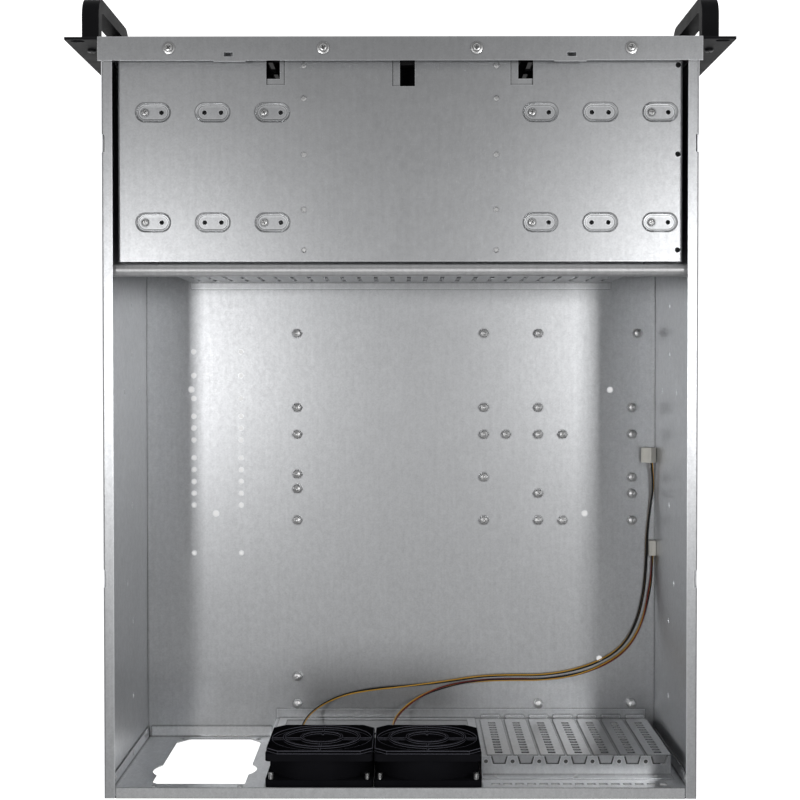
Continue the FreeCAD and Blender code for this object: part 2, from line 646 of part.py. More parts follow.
def fan_guard(label, centre):
    """Finger guard on the fan's inner face: a cornered frame, two rings and four spokes."""
    body = new_body(label)
    origin = (centre, "fan_height")
    fan_front = "(case_depth / 2 - skin - fan_depth)"
    half, clip = "(fan_size / 2 - 0.3)", "9"

    def frame(sketch):
        corners = []
        for across, up in ((-1, -1), (1, -1), (1, 1), (-1, 1)):
            long_way = (f"({across}) * ({half} - {clip})", f"({up}) * {half}")
            short_way = (f"({across}) * {half}", f"({up}) * ({half} - {clip})")
            pair = [short_way, long_way] if across * up > 0 else [long_way, short_way]
            corners += pair
        polygon(sketch, corners)
        circle(sketch, "0", "0", "fan_bore / 2")
    pad(body, "XZ", f"{fan_front} - 1.2", "2.4", frame, origin)

    def band(radius):
        def draw(sketch):
            circle(sketch, "0", "0", f"{radius} + 0.9")
            circle(sketch, "0", "0", f"{radius} - 0.9")
        return draw
    for radius in ("28.8", "15.4"):
        pad(body, "XZ", f"{fan_front} - 2.4", "1.8", band(radius), origin)
    for across, up in ((0.8, "fan_bore / 2 + 1"), ("fan_bore / 2 + 1", 0.6)):
        def spoke(sketch):
            rectangle(sketch, minus(across), minus(up), across, up)
        pad(body, "XZ", f"{fan_front} - 1.4", "1.6", spoke, origin)
    pocket(body, "XZ", f"{fan_front} - 2", "6", lambda sketch: circle(sketch, "0", "0", "14.5"), origin)
    return body


# ---------------------------------------------------------------- front

INLET_FRONT = "(panel_skin + skin - case_depth / 2)"
POWER_AT, RESET_AT, LAMPS_AT = "20", "6", ("-7", "-16")
SIDE_BAY = ("(divider_middle + 8)", "(bay_width / 2 - 8)")


def front_panel():
    """Black face plate with rack ears, vent slots, a round inlet grille and the button holes."""
    body = new_body("front_panel")
    middle = f"({FRONT} + panel_skin / 2)"
    low, high = "seam", "(case_height - seam)"

    def outline(sketch):
        rectangle(sketch, "-ear_span / 2", low, "ear_span / 2", high)
        for across in (-1, 1):
            for up in (-1, 1):
                oblong(sketch, f"({across}) * rack_hole_span / 2",
                       f"rack_slot_height + ({up}) * rack_hole_rise / 2",
                       "rack_slot_length", "rack_slot_width")
            for leg in HANDLE_LEGS:
                circle(sketch, f"({across}) * handle_middle", leg, "2.2")
        circle(sketch, POWER_AT, "button_height", "button_radius + button_gap")
        circle(sketch, RESET_AT, "button_height", "reset_radius + button_gap")
        for lamp in LAMPS_AT:
            circle(sketch, lamp, "button_height", "lamp_radius + 0.1")
    pad(body, "XZ", middle, "panel_skin", outline)
    vent_row = "(window_high - window_low) / 3"
    for side in (-1, 1):
        for up in (0, 1, 2):
            start = f"({side}) * {SIDE_BAY[0]}"
            vent = pocket(body, "XZ", middle, "2 * panel_skin",
                          lambda sketch: rectangle(sketch, f"{start} - 2 + ({side}) * 2",
                                                   f"window_low + 6 + {up} * {vent_row}",
                                                   f"{start} + 2 + ({side}) * 2",
                                                   f"window_low - 6 + {up + 1} * {vent_row}"))
            row = repeat(body, vent, "H_Axis", f"{SIDE_BAY[1]} - {SIDE_BAY[0]} - 6", "12")
            row.Reversed = side < 0

    def grille(sketch):
        for inner, outer in ((14, 22), (26, 34), (38, 46), (50, 56)):
            ring_sector(sketch, f"{inner}", f"{outer}", 0.7)
    quarter = pocket(body, "XZ", middle, "2 * panel_skin", grille, ("0", "inlet_height"))
    turn_about(body, quarter, "4")
    return body


def front_frame():
    """Plated inner frame behind the face plate, open at the two drive bays and the front fan."""
    body = new_body("front_frame")
    start = f"({FRONT} + panel_skin)"
    middle = f"({start} + skin / 2)"
    wide = "(case_width / 2 - skin - seam)"
    narrow = "(case_width / 2 - wall_flange - 3 * seam)"

    def face(sketch):
        half = [(wide, "skin"), (wide, "case_height - skin - seam"), (narrow, "case_height - skin - seam"),
                (narrow, "case_height")]
        polygon(sketch, half + [(minus(across), up) for across, up in reversed(half)])
        for side in (-1, 1):
            near_edge, far_edge = sorted((f"({side}) * {SIDE_BAY[0]}", f"({side}) * {SIDE_BAY[1]}"),
                                         key=number)
            rectangle(sketch, near_edge, "window_low", far_edge, "window_high")
        circle(sketch, "0", "inlet_height", "inlet_bore / 2")
        for across in (-1, 1):
            for up in (-1, 1):
                circle(sketch, f"({across}) * inlet_hole_pitch / 2",
                       f"inlet_height + ({up}) * inlet_hole_pitch / 2", "2")
        circle(sketch, POWER_AT, "button_height", "button_radius + button_gap")
        circle(sketch, RESET_AT, "button_height", "reset_radius + button_gap")
        for lamp in LAMPS_AT:
            circle(sketch, lamp, "button_height", "lamp_radius + 0.1")
    pad(body, "XZ", middle, "skin", face)

    def flange(sketch):
        rectangle(sketch, minus(narrow), f"{start} + skin / 2", narrow, f"{FRONT} + rail_depth - 1")
        rail_openings(sketch)
    pad(body, "XY", "case_height - skin / 2", "skin", flange)
    for side in (-1, 1):
        pad(body, "YZ", f"({side}) * ({wide} - skin / 2)", "skin",
            lambda sketch: rectangle(sketch, f"{start} + skin / 2", "skin + 3", f"{start} + fold",
                                     "case_height - 8"))
    return body


RAIL_SCREWS = [(f"({side}) * {across}", f"{FRONT} + rail_screw_line") for side in (1, -1)
               for across in ("rail_screw_far", "rail_screw_near")]


def rail_openings(sketch):
    """Screw holes and lid-catch slots that pass through the top rail and the frame's flange under it."""
    for across, along in RAIL_SCREWS:
        circle(sketch, across, along, "screw_radius")
    for side in (-1, 1):
        centre = f"({side}) * catch_middle"
        rectangle(sketch, f"{centre} - catch_length / 2", f"{FRONT} + catch_line - catch_width / 2",
                  f"{centre} + catch_length / 2", f"{FRONT} + catch_line + catch_width / 2")


def front_top_rail():
    """Plated strip over the front edge, lying on the walls' flanges and the front frame."""
    body = new_body("front_top_rail")
    half = "rail_width / 2"

    def strip(sketch):
        rectangle(sketch, minus(half), FRONT, half, f"{FRONT} + rail_depth")
        rail_openings(sketch)
    pad(body, "XY", "case_height + rail_skin / 2", "rail_skin", strip)

    def lip(sketch):
        for side in (-1, 1):
            centre = f"({side}) * lip_middle"
            rectangle(sketch, f"{centre} - lip_length / 2", f"{FRONT} + rail_depth - 0.2",
                      f"{centre} + lip_length / 2", f"{FRONT} + rail_depth + 0.8")
    pad(body, "XY", "case_height + rail_skin / 2", "rail_skin", lip)
    return body


HANDLE_LEGS = ("handle_low + handle_bar / 2", "handle_high - handle_bar / 2")


def handle(label, side):
    """Bow handle bent from flat bar, screwed to the ear from behind."""
    body = new_body(label)
    tip, bar = f"({FRONT} - handle_reach)", "handle_bar"
    outline = [(FRONT, "handle_low"), (tip, "handle_low"), (tip, "handle_high"), (FRONT, "handle_high"),
               (FRONT, f"handle_high - {bar}"), (f"{tip} + {bar}", f"handle_high - {bar}"),
               (f"{tip} + {bar}", f"handle_low + {bar}"), (FRONT, f"handle_low + {bar}")]
    pad(body, "YZ", f"({side}) * handle_middle", "handle_width", lambda sketch: polygon(sketch, outline))
    across = lambda run: abs(run.x) > 0.99
    round_edges(body, "handle_round", lambda run, mid: across(run) and near(mid.y, tip))
    round_edges(body, "handle_round - handle_bar + 1",
                lambda run, mid: across(run) and near(mid.y, f"{tip} + {bar}"))

    def bores(sketch):
        for leg in HANDLE_LEGS:
            circle(sketch, f"({side}) * handle_middle", leg, "2")
    pocket(body, "XZ", FRONT, "16", bores)
    return body


def switch_block():
    """Moulded block behind the face plate that guides the buttons and holds the lamps."""
    body = new_body("switch_block")
    start = INLET_FRONT
    pad(body, "XZ", f"{start} + 7", "14",
        lambda sketch: rectangle(sketch, "-24", "button_height - 7.5", "30", "button_height + 7.5"))

    def guides(sketch):
        circle(sketch, POWER_AT, "button_height", "button_radius + button_gap")
        circle(sketch, RESET_AT, "button_height", "reset_radius + button_gap")
    pocket(body, "XZ", start, "20", guides)

    def seats(sketch):
        for lamp in LAMPS_AT:
            circle(sketch, lamp, "button_height", "lamp_radius")
    pocket(body, "XZ", start, "6", seats)
    return body


def button(label, across, radius):
    """A cap on its plunger, guided by the switch block, proud of the face plate."""
    cap = cylinder(radius, "button_proud + panel_skin + skin + 7.5",
                   (across, f"{FRONT} - button_proud", "button_height"),
                   (0, 1, 0))
    return fuse(label, [cap, cylinder(f"({radius}) * 0.6", "1",
                                      (across, f"{FRONT} + panel_skin + skin + 7", "button_height"),
                                      (0, 1, 0))])


def lamp(label, across):
    """A status lamp's lens, seated in the switch block."""
    stem = cylinder("lamp_radius", "panel_skin + skin + 3", (across, FRONT, "button_height"), (0, 1, 0))
    dome = cone("lamp_radius * 0.6", "lamp_radius", "1", (across, f"{FRONT} - 1", "button_height"),
                (0, 1, 0))
    return fuse(label, [stem, dome])


# ---------------------------------------------------------------- drive bay and crossbar

OVAL_ROWS = (f"({FRONT} + oval_front)", f"({FRONT} + oval_front + oval_rows)")
OVALS = [(f"({side}) * (oval_near + {column} * oval_pitch) - {moved} * oval_shift", row) for row in OVAL_ROWS
         for side, moved in ((1, 0), (-1, 1)) for column in (0, 1, 2)]
RIVET_ROWS = [f"({FRONT} + {distance})" for distance in (18, 41.8, 82.5, 122.5, 152)]


BAY_NOTCHES = (         # sides and rear of the sunk land, then the sides and rear of the opening in it
    (("83.6", "97.2"), "32.2", ("87.4", "97.2"), "27.5"),
    (("-96.7", "-80.1"), "32.2", ("-96.7", "-85.9"), "27.5"),
    (("-10.8", "5.8"), "33.2", ("-10.8", "0.1"), "33.2"))


def bay_cage():
    """Top and both sides of the drive bay, folded from one sheet, with sunk oval screw lands."""
    body = new_body("bay_cage")
    half = "bay_width / 2"
    top = "(bay_height - skin / 2)"
    middle, length = f"({BAY_FRONT} + {BAY_REAR}) / 2", "bay_depth"
    profile = [(half, "skin"), (half, "bay_height"), (minus(half), "bay_height"), (minus(half), "skin"),
               (f"skin - {half}", "skin"), (f"skin - {half}", "bay_height - skin"),
               (f"{half} - skin", "bay_height - skin"),
               (f"{half} - skin", "skin")]
    pad(body, "XZ", middle, length, lambda sketch: polygon(sketch, profile))
    outer = lambda run, mid: abs(run.y) > 0.99 and near(abs(mid.x), half) and near(mid.z, "bay_height")
    round_edges(body, "bend_radius + skin", outer)

    def ovals(length, width):
        def draw(sketch):
            for across, along in OVALS:
                oblong(sketch, across, along, length, width)
        return draw
    pad(body, "XY", "bay_height - oval_sink / 2 - skin", "oval_sink", ovals("oval_length", "oval_width"))
    pocket(body, "XY", "bay_height", "2 * oval_sink",
           ovals("oval_length - 2 * oval_rim", "oval_width - 2 * oval_rim"))
    in_oval = lambda mid: near(mid.z, "bay_height") and any(
        abs(mid.x - number(across)) < number("oval_length / 2")
        and abs(mid.y - number(along)) < number("oval_width / 2")
        for across, along in OVALS)
    bevel_edges(body, "oval_rim - 0.1", in_oval)

    def holes(sketch):
        for across, along in OVALS:
            for side in (-1, 1):
                circle(sketch, f"{across} + ({side}) * oval_hole_gap / 2", along, "1.7")
        for row in RIVET_ROWS[0::2]:
            circle(sketch, "3.5 - bay_width / 2", row, "2")
    pocket(body, "XY", top, "6 * skin", holes)

    land = "(bay_height - notch_sink - skin / 2)"
    for sides, rear, opening, opening_rear in BAY_NOTCHES:
        low, high = sides
        pad(body, "XY", f"{top} - notch_sink / 2", "notch_sink + skin",
            lambda sketch: rectangle(sketch, f"{low} - skin", f"{BAY_FRONT} + 0.01", f"{high} + skin",
                                     f"{FRONT} + {rear} + skin"))
        pocket(body, "XY", "bay_height", "2 * notch_sink",
               lambda sketch: rectangle(sketch, low, f"{BAY_FRONT} - 1", high, f"{FRONT} + {rear}"))
        pocket(body, "XY", land, "3 * skin",
               lambda sketch: rectangle(sketch, opening[0], f"{BAY_FRONT} - 1", opening[1],
                                        f"{FRONT} + {opening_rear}"))
    return body


def bay_divider(label, side):
    """Z-section wall between the drive bays, from the floor to the bay's top."""
    body = new_body(label)
    inner = "(divider_middle - divider_flange / 2)"
    outer = "(divider_middle + divider_flange / 2)"
    high = "(bay_height - skin)"
    profile = [(inner, "skin"), (outer, "skin"), (outer, "2 * skin"), (f"{inner} + skin", "2 * skin"),
               (f"{inner} + skin", f"{high} - skin"), (outer, f"{high} - skin"), (outer, high),
               (inner, high)]
    points = [(f"({side}) * ({across})", up) for across, up in profile]
    middle = f"({BAY_FRONT} + {BAY_REAR}) / 2"
    pad(body, "XZ", middle, "bay_depth - 36", lambda sketch: polygon(sketch, points))
    hole = pocket(body, "YZ", f"({side}) * ({inner} + skin / 2)", "3 * skin",
                  lambda sketch: rectangle(sketch, f"{middle} - 45", "40", f"{middle} - 25",
                                           "bay_height - 39"))
    repeat(body, hole, "H_Axis", "70", "3")
    return body


def partition_wall():
    """Slotted wall behind the drive bay, with a foot on the floor and a lip under the crossbar."""
    body = new_body("partition_wall")
    rear = f"({BAY_REAR} + partition_gap)"
    half = "partition_width / 2"
    middle = f"({rear} - skin / 2)"
    pad(body, "XZ", middle, "skin", lambda sketch: rectangle(sketch, minus(half), "skin", half,
                                                             "partition_height"))
    pad(body, "XY", "1.5 * skin", "skin",
        lambda sketch: rectangle(sketch, minus(half), middle, half, f"{rear} + partition_foot"))
    pad(body, "XY", "partition_height - skin / 2", "skin",
        lambda sketch: rectangle(sketch, minus(half), middle, half, f"{rear} + 4"))
    for low in ("12", "46", "80"):
        slot = pocket(body, "XZ", middle, "3 * skin",
                      lambda sketch: rectangle(sketch, f"8 - {half}", low, f"11.5 - {half}", f"{low} + 26"))
        repeat(body, slot, "H_Axis", "partition_width - 19.5", "26")
    return body


def crossbar():
    """Rolled bar from wall to wall behind the drive bay, under the walls' flanges."""
    body = new_body("crossbar")
    middle = f"({BAY_REAR} + bar_gap + bar_width / 2)"
    radius = "(bar_width / 2)"
    crown = "(bar_top - bar_width / 2)"
    foot = "(bar_top - bar_depth)"

    def section(sketch):
        arcs = []
        for size in (radius, f"({radius} - skin)"):
            ring = Part.Circle(Vector(number(middle), number(crown), 0), Vector(0, 0, 1), number(size))
            arcs.append(sketch.addGeometry(Part.ArcOfCircle(ring, 0, 3.14159265), False))
        outer, inner = arcs
        corners = [f"{middle} + {radius}", f"{middle} + {radius} - skin", f"{middle} - {radius} + skin",
                   f"{middle} - {radius}"]
        ends = [(outer, 1), (inner, 1), (inner, 2), (outer, 2)]
        legs = []
        for across in corners:
            line = Part.LineSegment(Vector(number(across), number(foot), 0),
                                    Vector(number(across), number(crown), 0))
            legs.append(sketch.addGeometry(line, False))
            pin_point(sketch, legs[-1], 1, across, foot)
            pin_point(sketch, legs[-1], 2, across, crown)
        for leg, (arc, end) in zip(legs, ends):
            sketch.addConstraint(Sketcher.Constraint("Coincident", leg, 2, arc, end))
        for arc in arcs:
            index = sketch.addConstraint(Sketcher.Constraint("DistanceY", -1, 1, arc, 3, number(crown)))
            sketch.setExpression(f"Constraints[{index}]", bound(crown))
        for first, second in ((0, 1), (2, 3)):
            start, end = sketch.getPoint(legs[first], 1), sketch.getPoint(legs[second], 1)
            line = sketch.addGeometry(Part.LineSegment(start, end), False)
            sketch.addConstraint(Sketcher.Constraint("Coincident", line, 1, legs[first], 1))
            sketch.addConstraint(Sketcher.Constraint("Coincident", line, 2, legs[second], 1))
    pad(body, "YZ", "0", "case_width - 2 * skin", section)
    return body


# ---------------------------------------------------------------- standoffs and fasteners

FIRST, SECOND = "board_first", "(board_first - board_second_step)"
THIRD, LAST = "(board_first - 203.2)", "(board_first - board_last_step)"
EXTRA = "(board_first - 223.7)"
STANDOFF_ROWS = {       # distance ahead of the rear row: the columns that have a standoff there
    "0": (FIRST, THIRD, LAST), "22.86": (FIRST,), "board_middle_row": (FIRST, SECOND, THIRD, EXTRA, LAST),
    "177.6": (THIRD, LAST), "181.4": (FIRST,), "193.9": (FIRST,), "191.3": (SECOND, LAST),
    "board_front_row": (FIRST, SECOND, "(board_first - 176.2)", THIRD, EXTRA, LAST),
    "249.9": (FIRST, SECOND, THIRD, LAST), "312.2": (FIRST, SECOND, THIRD, "(board_first - 286.4)"),
}


def board_standoffs():
    """Hexagonal threaded standoffs, set on the floor at the board's hole places."""
    items = []
    for ahead, columns in STANDOFF_ROWS.items():
        along = f"{REAR} - board_line - board_hole_back - ({ahead})"
        for across in columns:
            post = doc.addObject("Part::Prism", "post")
            post.Polygon = 6
            post.setExpression("Circumradius", bound("standoff_flats / 1.732"))
            post.setExpression("Height", bound("standoff_rise"))
            place(post, (across, along, "skin"))
            thread = cylinder("standoff_bore", "standoff_thread + 1",
                              (across, along, "skin + standoff_rise - standoff_thread"))
            items.append(cut("standoff", post, thread))
    return group("board_standoffs", items)


def corner_places(centre, height, pitch, level):
    return [(f"{centre} + ({across}) * {pitch} / 2", level, f"{height} + ({up}) * {pitch} / 2")
            for across in (-1, 1) for up in (-1, 1)]


def fasteners():
    rail = [(across, along, "case_height + rail_skin") for across, along in RAIL_SCREWS]
    screws("rail_screws", rail, (0, 0, 1), "rail_skin + skin", head="rail_screw_head")
    for side, centre in FANS.items():
        screws(f"rear_fan_{side}_screws", corner_places(centre, "fan_height", "fan_hole_pitch", REAR),
               (0, 1, 0),
               "skin + 10", radius="fan_screw_radius")
    ears = [(f"({side}) * handle_middle", f"{FRONT} + panel_skin", leg) for side in (-1, 1)
            for leg in HANDLE_LEGS]
    screws("handle_screws", ears, (0, 1, 0), "panel_skin + 7", radius="1.95")
    lands = [(f"{across} + oval_hole_gap / 2", along, "bay_height - oval_sink") for across, along in OVALS
             if (" + 1 *" not in across)]
    screws("drive_screws", lands, (0, 0, 1), "skin", head="2.6")
    seams = [(f"({side}) * divider_middle", row, "bay_height") for side in (-1, 1) for row in RIVET_ROWS]
    rivets("bay_rivets", seams, (0, 0, 1))
    frame = [(f"-{across}", f"{REAR_INNER} - skin", "slot_shelf + 4.5")
             for across in ("72.2", "133.2", "194")]
    rivets("slot_frame_rivets", frame, (0, -1, 0))
    walls = [(f"({side}) * (case_width / 2 - 2 * skin - seam)", f"{REAR} - 6.2", up) for side in (-1, 1)
             for up in ("19.5", "74", "144")]
    group("rear_wall_rivets", [cone("rivet_radius", "rivet_radius * 0.55", "0.9", at,
                                    (-1 if number(at[0]) > 0 else 1, 0, 0))
                               for at in walls])


# ---------------------------------------------------------------- fan leads

LEADS = {
    "left": [(80, 252, 72), (79.3, 250.5, 55), (76, 247.5, 36), (69, 244.5, 19), (58, 240.8, 7),
             (43, 236.5, 2.8),
             (20, 233, 2.5), (-8, 230.6, 2.5), (-38, 227, 2.5), (-66, 222.6, 2.5), (-92, 221.5, 2.5),
             (-118, 221.6, 2.5), (-144, 218, 2.5), (-168, 210, 2.5), (-187.2, 197, 2.5), (-199, 176, 2.5),
             (-204.7, 151, 2.5), (-206.6, 127, 2.5), (-207, 103, 2.7), (-209.5, 80, 4.4), (-212.2, 61, 7),
             (-209.7, 41.6, 9)],
    "right": [(7, 252, 72), (6.5, 250.5, 55), (3, 248, 36), (-4, 244.5, 19), (-14, 240, 7),
              (-27, 234.5, 2.8),
              (-46, 229, 2.5), (-70, 225.8, 2.5), (-94, 225.2, 2.5), (-119, 225.3, 2.5), (-145.3, 222, 2.5),
              (-171, 213.5, 2.5), (-190.6, 200, 2.5), (-203.3, 178.3, 2.5), (-208.9, 152.5, 2.6),
              (-211.6, 134, 3.4), (-211.3, 119.8, 4.6)],
}
CONNECTORS = {          # middle, size and lean of each lead's housing
    "left": ((-207.6, 35.4, 7.3), (10.2, 12.4, 7), 45),
    "right": ((-211.05, 113.65, 4.5), (5.3, 12.3, 6.8), 0)}


def lead_connector(label, middle, size, lean):
    """A lead's housing, keyed along one side, lying on the floor against the wall."""
    length, width, height = size
    shell = doc.addObject("Part::Box", "shell")
    shell.Length, shell.Width, shell.Height = length, width, height
    shell.Placement.Base = Vector(-length / 2, -width / 2, -height / 2)
    key = doc.addObject("Part::Box", "key")
    key.Length, key.Width, key.Height = length * 0.5, width, 0.9
    key.Placement.Base = Vector(-length / 4, -width / 2 - 0.1, height / 2 - 0.5)
    housing = cut(label, shell, key)
    housing.Placement = FreeCAD.Placement(Vector(*middle), FreeCAD.Rotation(Vector(0, 1, 0), lean))
    return housing


def lead(label, points):
    """A soft lead as straight runs joined by tangent arcs, swept as one tube."""
    stops = [Vector(*point) for point in points]
    edges, start = [], stops[0]
    for before, corner, after in zip(stops, stops[1:], stops[2:]):
        into, out = (corner - before), (after - corner)
        reach = 0.45 * min(into.Length, out.Length)
        radius = reach / math.tan(into.getAngle(out) / 2)
        print(label, "bend radius", round(radius, 1))
        first = corner - into.normalize() * reach
        last = corner + out.normalize() * reach
        chord = (first + last) * 0.5
        apex_way = (chord - corner).normalize()
        centre = corner + apex_way * (radius ** 2 + reach ** 2) ** 0.5
        apex = centre - apex_way * radius
        edges.append(Part.LineSegment(start, first).toShape())
        edges.append(Part.Arc(first, apex, last).toShape())
        start = last
    edges.append(Part.LineSegment(start, stops[-1]).toShape())
    path = Part.Wire(edges)
    radius = number("lead_radius")
    section = Part.Wire([Part.Circle(stops[0], stops[1] - stops[0], radius).toShape()])
    tube = path.makePipeShell([section], True, True)
    print(label, "length", round(path.Length, 1), "volume ratio",
          round(tube.Volume / (3.14159265 * radius ** 2 * path.Length), 4))
    feature = doc.addObject("Part::Feature", label)
    feature.Shape = tube
    feature.Label = label
    return feature


# ---------------------------------------------------------------- whole case

def build():
    chassis_tray()
    rear_panel()
    expansion_slot_frame()
    for index in range(int(number("slot_count"))):
        slot_cover(index)
    port_plate()
    fan_start = "(case_depth / 2 - skin - fan_depth)"
    for side, centre in FANS.items():
        fan_frame(f"rear_fan_{side}_frame", centre, "fan_height", fan_start, "fan_size", "fan_depth",
                  "fan_bore",
                  "fan_hole_pitch", "fan_flange")
        fan_rotor(f"rear_fan_{side}_rotor", centre, "fan_height", fan_start, "fan_size", "fan_depth",
                  "fan_bore", 7)
        fan_guard(f"rear_fan_{side}_guard", centre)
    fan_frame("front_fan_frame", "0", "inlet_height", INLET_FRONT, "inlet_size", "inlet_depth", "inlet_bore",
              "inlet_hole_pitch", "fan_flange")
    fan_rotor("front_fan_rotor", "0", "inlet_height", INLET_FRONT, "inlet_size", "inlet_depth",
              "inlet_bore", 7)
    front_panel()
    front_frame()
    front_top_rail()
    handle("handle_left", 1)
    handle("handle_right", -1)
    switch_block()
    button("power_button", POWER_AT, "button_radius")
    button("reset_button", RESET_AT, "reset_radius")
    for name, across in zip(("power_lamp", "drive_lamp"), LAMPS_AT):
        lamp(name, across)
    bay_cage()
    bay_divider("bay_divider_left", 1)
    bay_divider("bay_divider_right", -1)
    partition_wall()
    crossbar()
    board_standoffs()
    fasteners()
    for side, points in LEADS.items():
        lead(f"fan_lead_{side}", points)
        lead_connector(f"fan_lead_{side}_connector", *CONNECTORS[side])


def check_and_export():
    doc.recompute()
    faulty = [item.Label for item in doc.Objects if "Invalid" in item.State or "Error" in item.State]
    if faulty:
        raise RuntimeError("failed to build: " + ", ".join(faulty))
    kinds = ("PartDesign::Body", "Part::MultiFuse", "Part::Compound", "Part::Cut", "Part::Feature")
    pieces = [item for item in doc.Objects if item.TypeId in kinds and not any(
        user.TypeId in kinds for user in item.InList)]
    os.makedirs("parts", exist_ok=True)
    for piece in pieces:
        shape = piece.Shape
        if shape.isNull() or not shape.isValid() or not shape.Solids:
            raise RuntimeError("no valid solid: " + piece.Label)
        shape.exportStep(f"parts/{piece.Label}.step")
        print(piece.Label, len(shape.Solids), round(shape.Volume))


build()
check_and_export()
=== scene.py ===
import json
import math

import bmesh
import bpy
from mathutils import Matrix, Vector


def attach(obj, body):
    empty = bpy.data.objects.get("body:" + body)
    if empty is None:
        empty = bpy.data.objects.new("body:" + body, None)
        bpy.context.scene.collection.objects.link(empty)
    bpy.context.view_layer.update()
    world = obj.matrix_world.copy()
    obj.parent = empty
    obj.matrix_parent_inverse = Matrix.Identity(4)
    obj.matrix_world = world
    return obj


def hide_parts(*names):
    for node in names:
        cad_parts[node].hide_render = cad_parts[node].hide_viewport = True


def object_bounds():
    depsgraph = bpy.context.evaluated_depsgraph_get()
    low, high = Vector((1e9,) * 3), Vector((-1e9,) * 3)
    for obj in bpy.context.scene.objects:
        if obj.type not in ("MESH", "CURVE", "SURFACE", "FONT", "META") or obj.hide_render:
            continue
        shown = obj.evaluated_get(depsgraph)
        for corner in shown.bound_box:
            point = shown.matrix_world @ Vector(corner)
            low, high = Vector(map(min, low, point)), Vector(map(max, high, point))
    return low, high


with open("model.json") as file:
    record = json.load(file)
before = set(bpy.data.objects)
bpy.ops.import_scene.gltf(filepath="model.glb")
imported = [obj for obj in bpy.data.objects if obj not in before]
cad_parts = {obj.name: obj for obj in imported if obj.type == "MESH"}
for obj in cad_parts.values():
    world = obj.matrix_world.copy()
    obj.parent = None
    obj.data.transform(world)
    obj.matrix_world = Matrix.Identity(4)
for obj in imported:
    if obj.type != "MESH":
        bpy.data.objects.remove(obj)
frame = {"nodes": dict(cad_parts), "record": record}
nodes = frame["nodes"]
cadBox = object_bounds()
print("frame loaded", len(nodes), "nodes")

millimetre = 0.001


# An empty shader group whose sockets are all plain numbers, with its two end nodes
def nodeGroup(name, inputs, outputs):
    tree = bpy.data.node_groups.new(name, "ShaderNodeTree")
    for label, default in inputs.items():
        socket = tree.interface.new_socket(label, in_out="INPUT", socket_type="NodeSocketFloat")
        socket.default_value = default
    for label in outputs:
        tree.interface.new_socket(label, in_out="OUTPUT", socket_type="NodeSocketFloat")
    return tree, tree.nodes.new("NodeGroupInput"), tree.nodes.new("NodeGroupOutput")


# A node that holds a group, with the group's inputs set to a material's own values
def placedGroup(tree, group, values):
    node = tree.nodes.new("ShaderNodeGroup")
    node.node_tree = group
    for label, value in values.items():
        node.inputs[label].default_value = value
    return node


# A maths node fed by sockets or plain numbers
def mathNode(tree, operation, first, second=0.0):
    node = tree.nodes.new("ShaderNodeMath")
    node.operation = operation
    for slot, value in zip(node.inputs, (first, second)):
        if isinstance(value, (int, float)):
            slot.default_value = value
        else:
            tree.links.new(value, slot)
    return node.outputs[0]


def total(tree, first, second):
    return mathNode(tree, "ADD", first, second)


def difference(tree, first, second):
    return mathNode(tree, "SUBTRACT", first, second)


def product(tree, first, second):
    return mathNode(tree, "MULTIPLY", first, second)


# 0 up to the start and 1 from the stop on, with a soft change between them
def rampNode(tree, value, start, stop):
    node = tree.nodes.new("ShaderNodeMapRange")
    node.interpolation_type = "SMOOTHSTEP"
    tree.links.new(value, node.inputs["Value"])
    node.inputs["From Min"].default_value = start
    node.inputs["From Max"].default_value = stop
    return node.outputs[0]


# Noise that swings about zero
def noiseNode(tree, coordinates, scale, detail=4.0):
    node = tree.nodes.new("ShaderNodeTexNoise")
    node.inputs["Scale"].default_value = scale
    node.inputs["Detail"].default_value = detail
    node.inputs["Roughness"].default_value = 0.55
    tree.links.new(coordinates, node.inputs["Vector"])
    return difference(tree, node.outputs["Fac"], 0.5)


# The coordinates scaled by a factor for each axis, for grain that runs one way
def stretched(tree, coordinates, factors):
    node = tree.nodes.new("ShaderNodeVectorMath")
    node.operation = "MULTIPLY"
    node.inputs[1].default_value = factors
    tree.links.new(coordinates, node.inputs[0])
    return node.outputs[0]


def objectPlace(tree):
    return tree.nodes.new("ShaderNodeTexCoord").outputs["Object"]


spangle = {"cloudScale": 38.0, "cloudTone": 0.05, "cloudGloss": 0.03,
           "patchStretch": (260.0, 170.0, 170.0), "patchTone": 0.24,
           "lineStretch": (420.0, 14.0, 14.0), "lineTone": 0.12, "detail": 3.0,
           "crystalGloss": -0.35, "crystalRelief": 0.7}


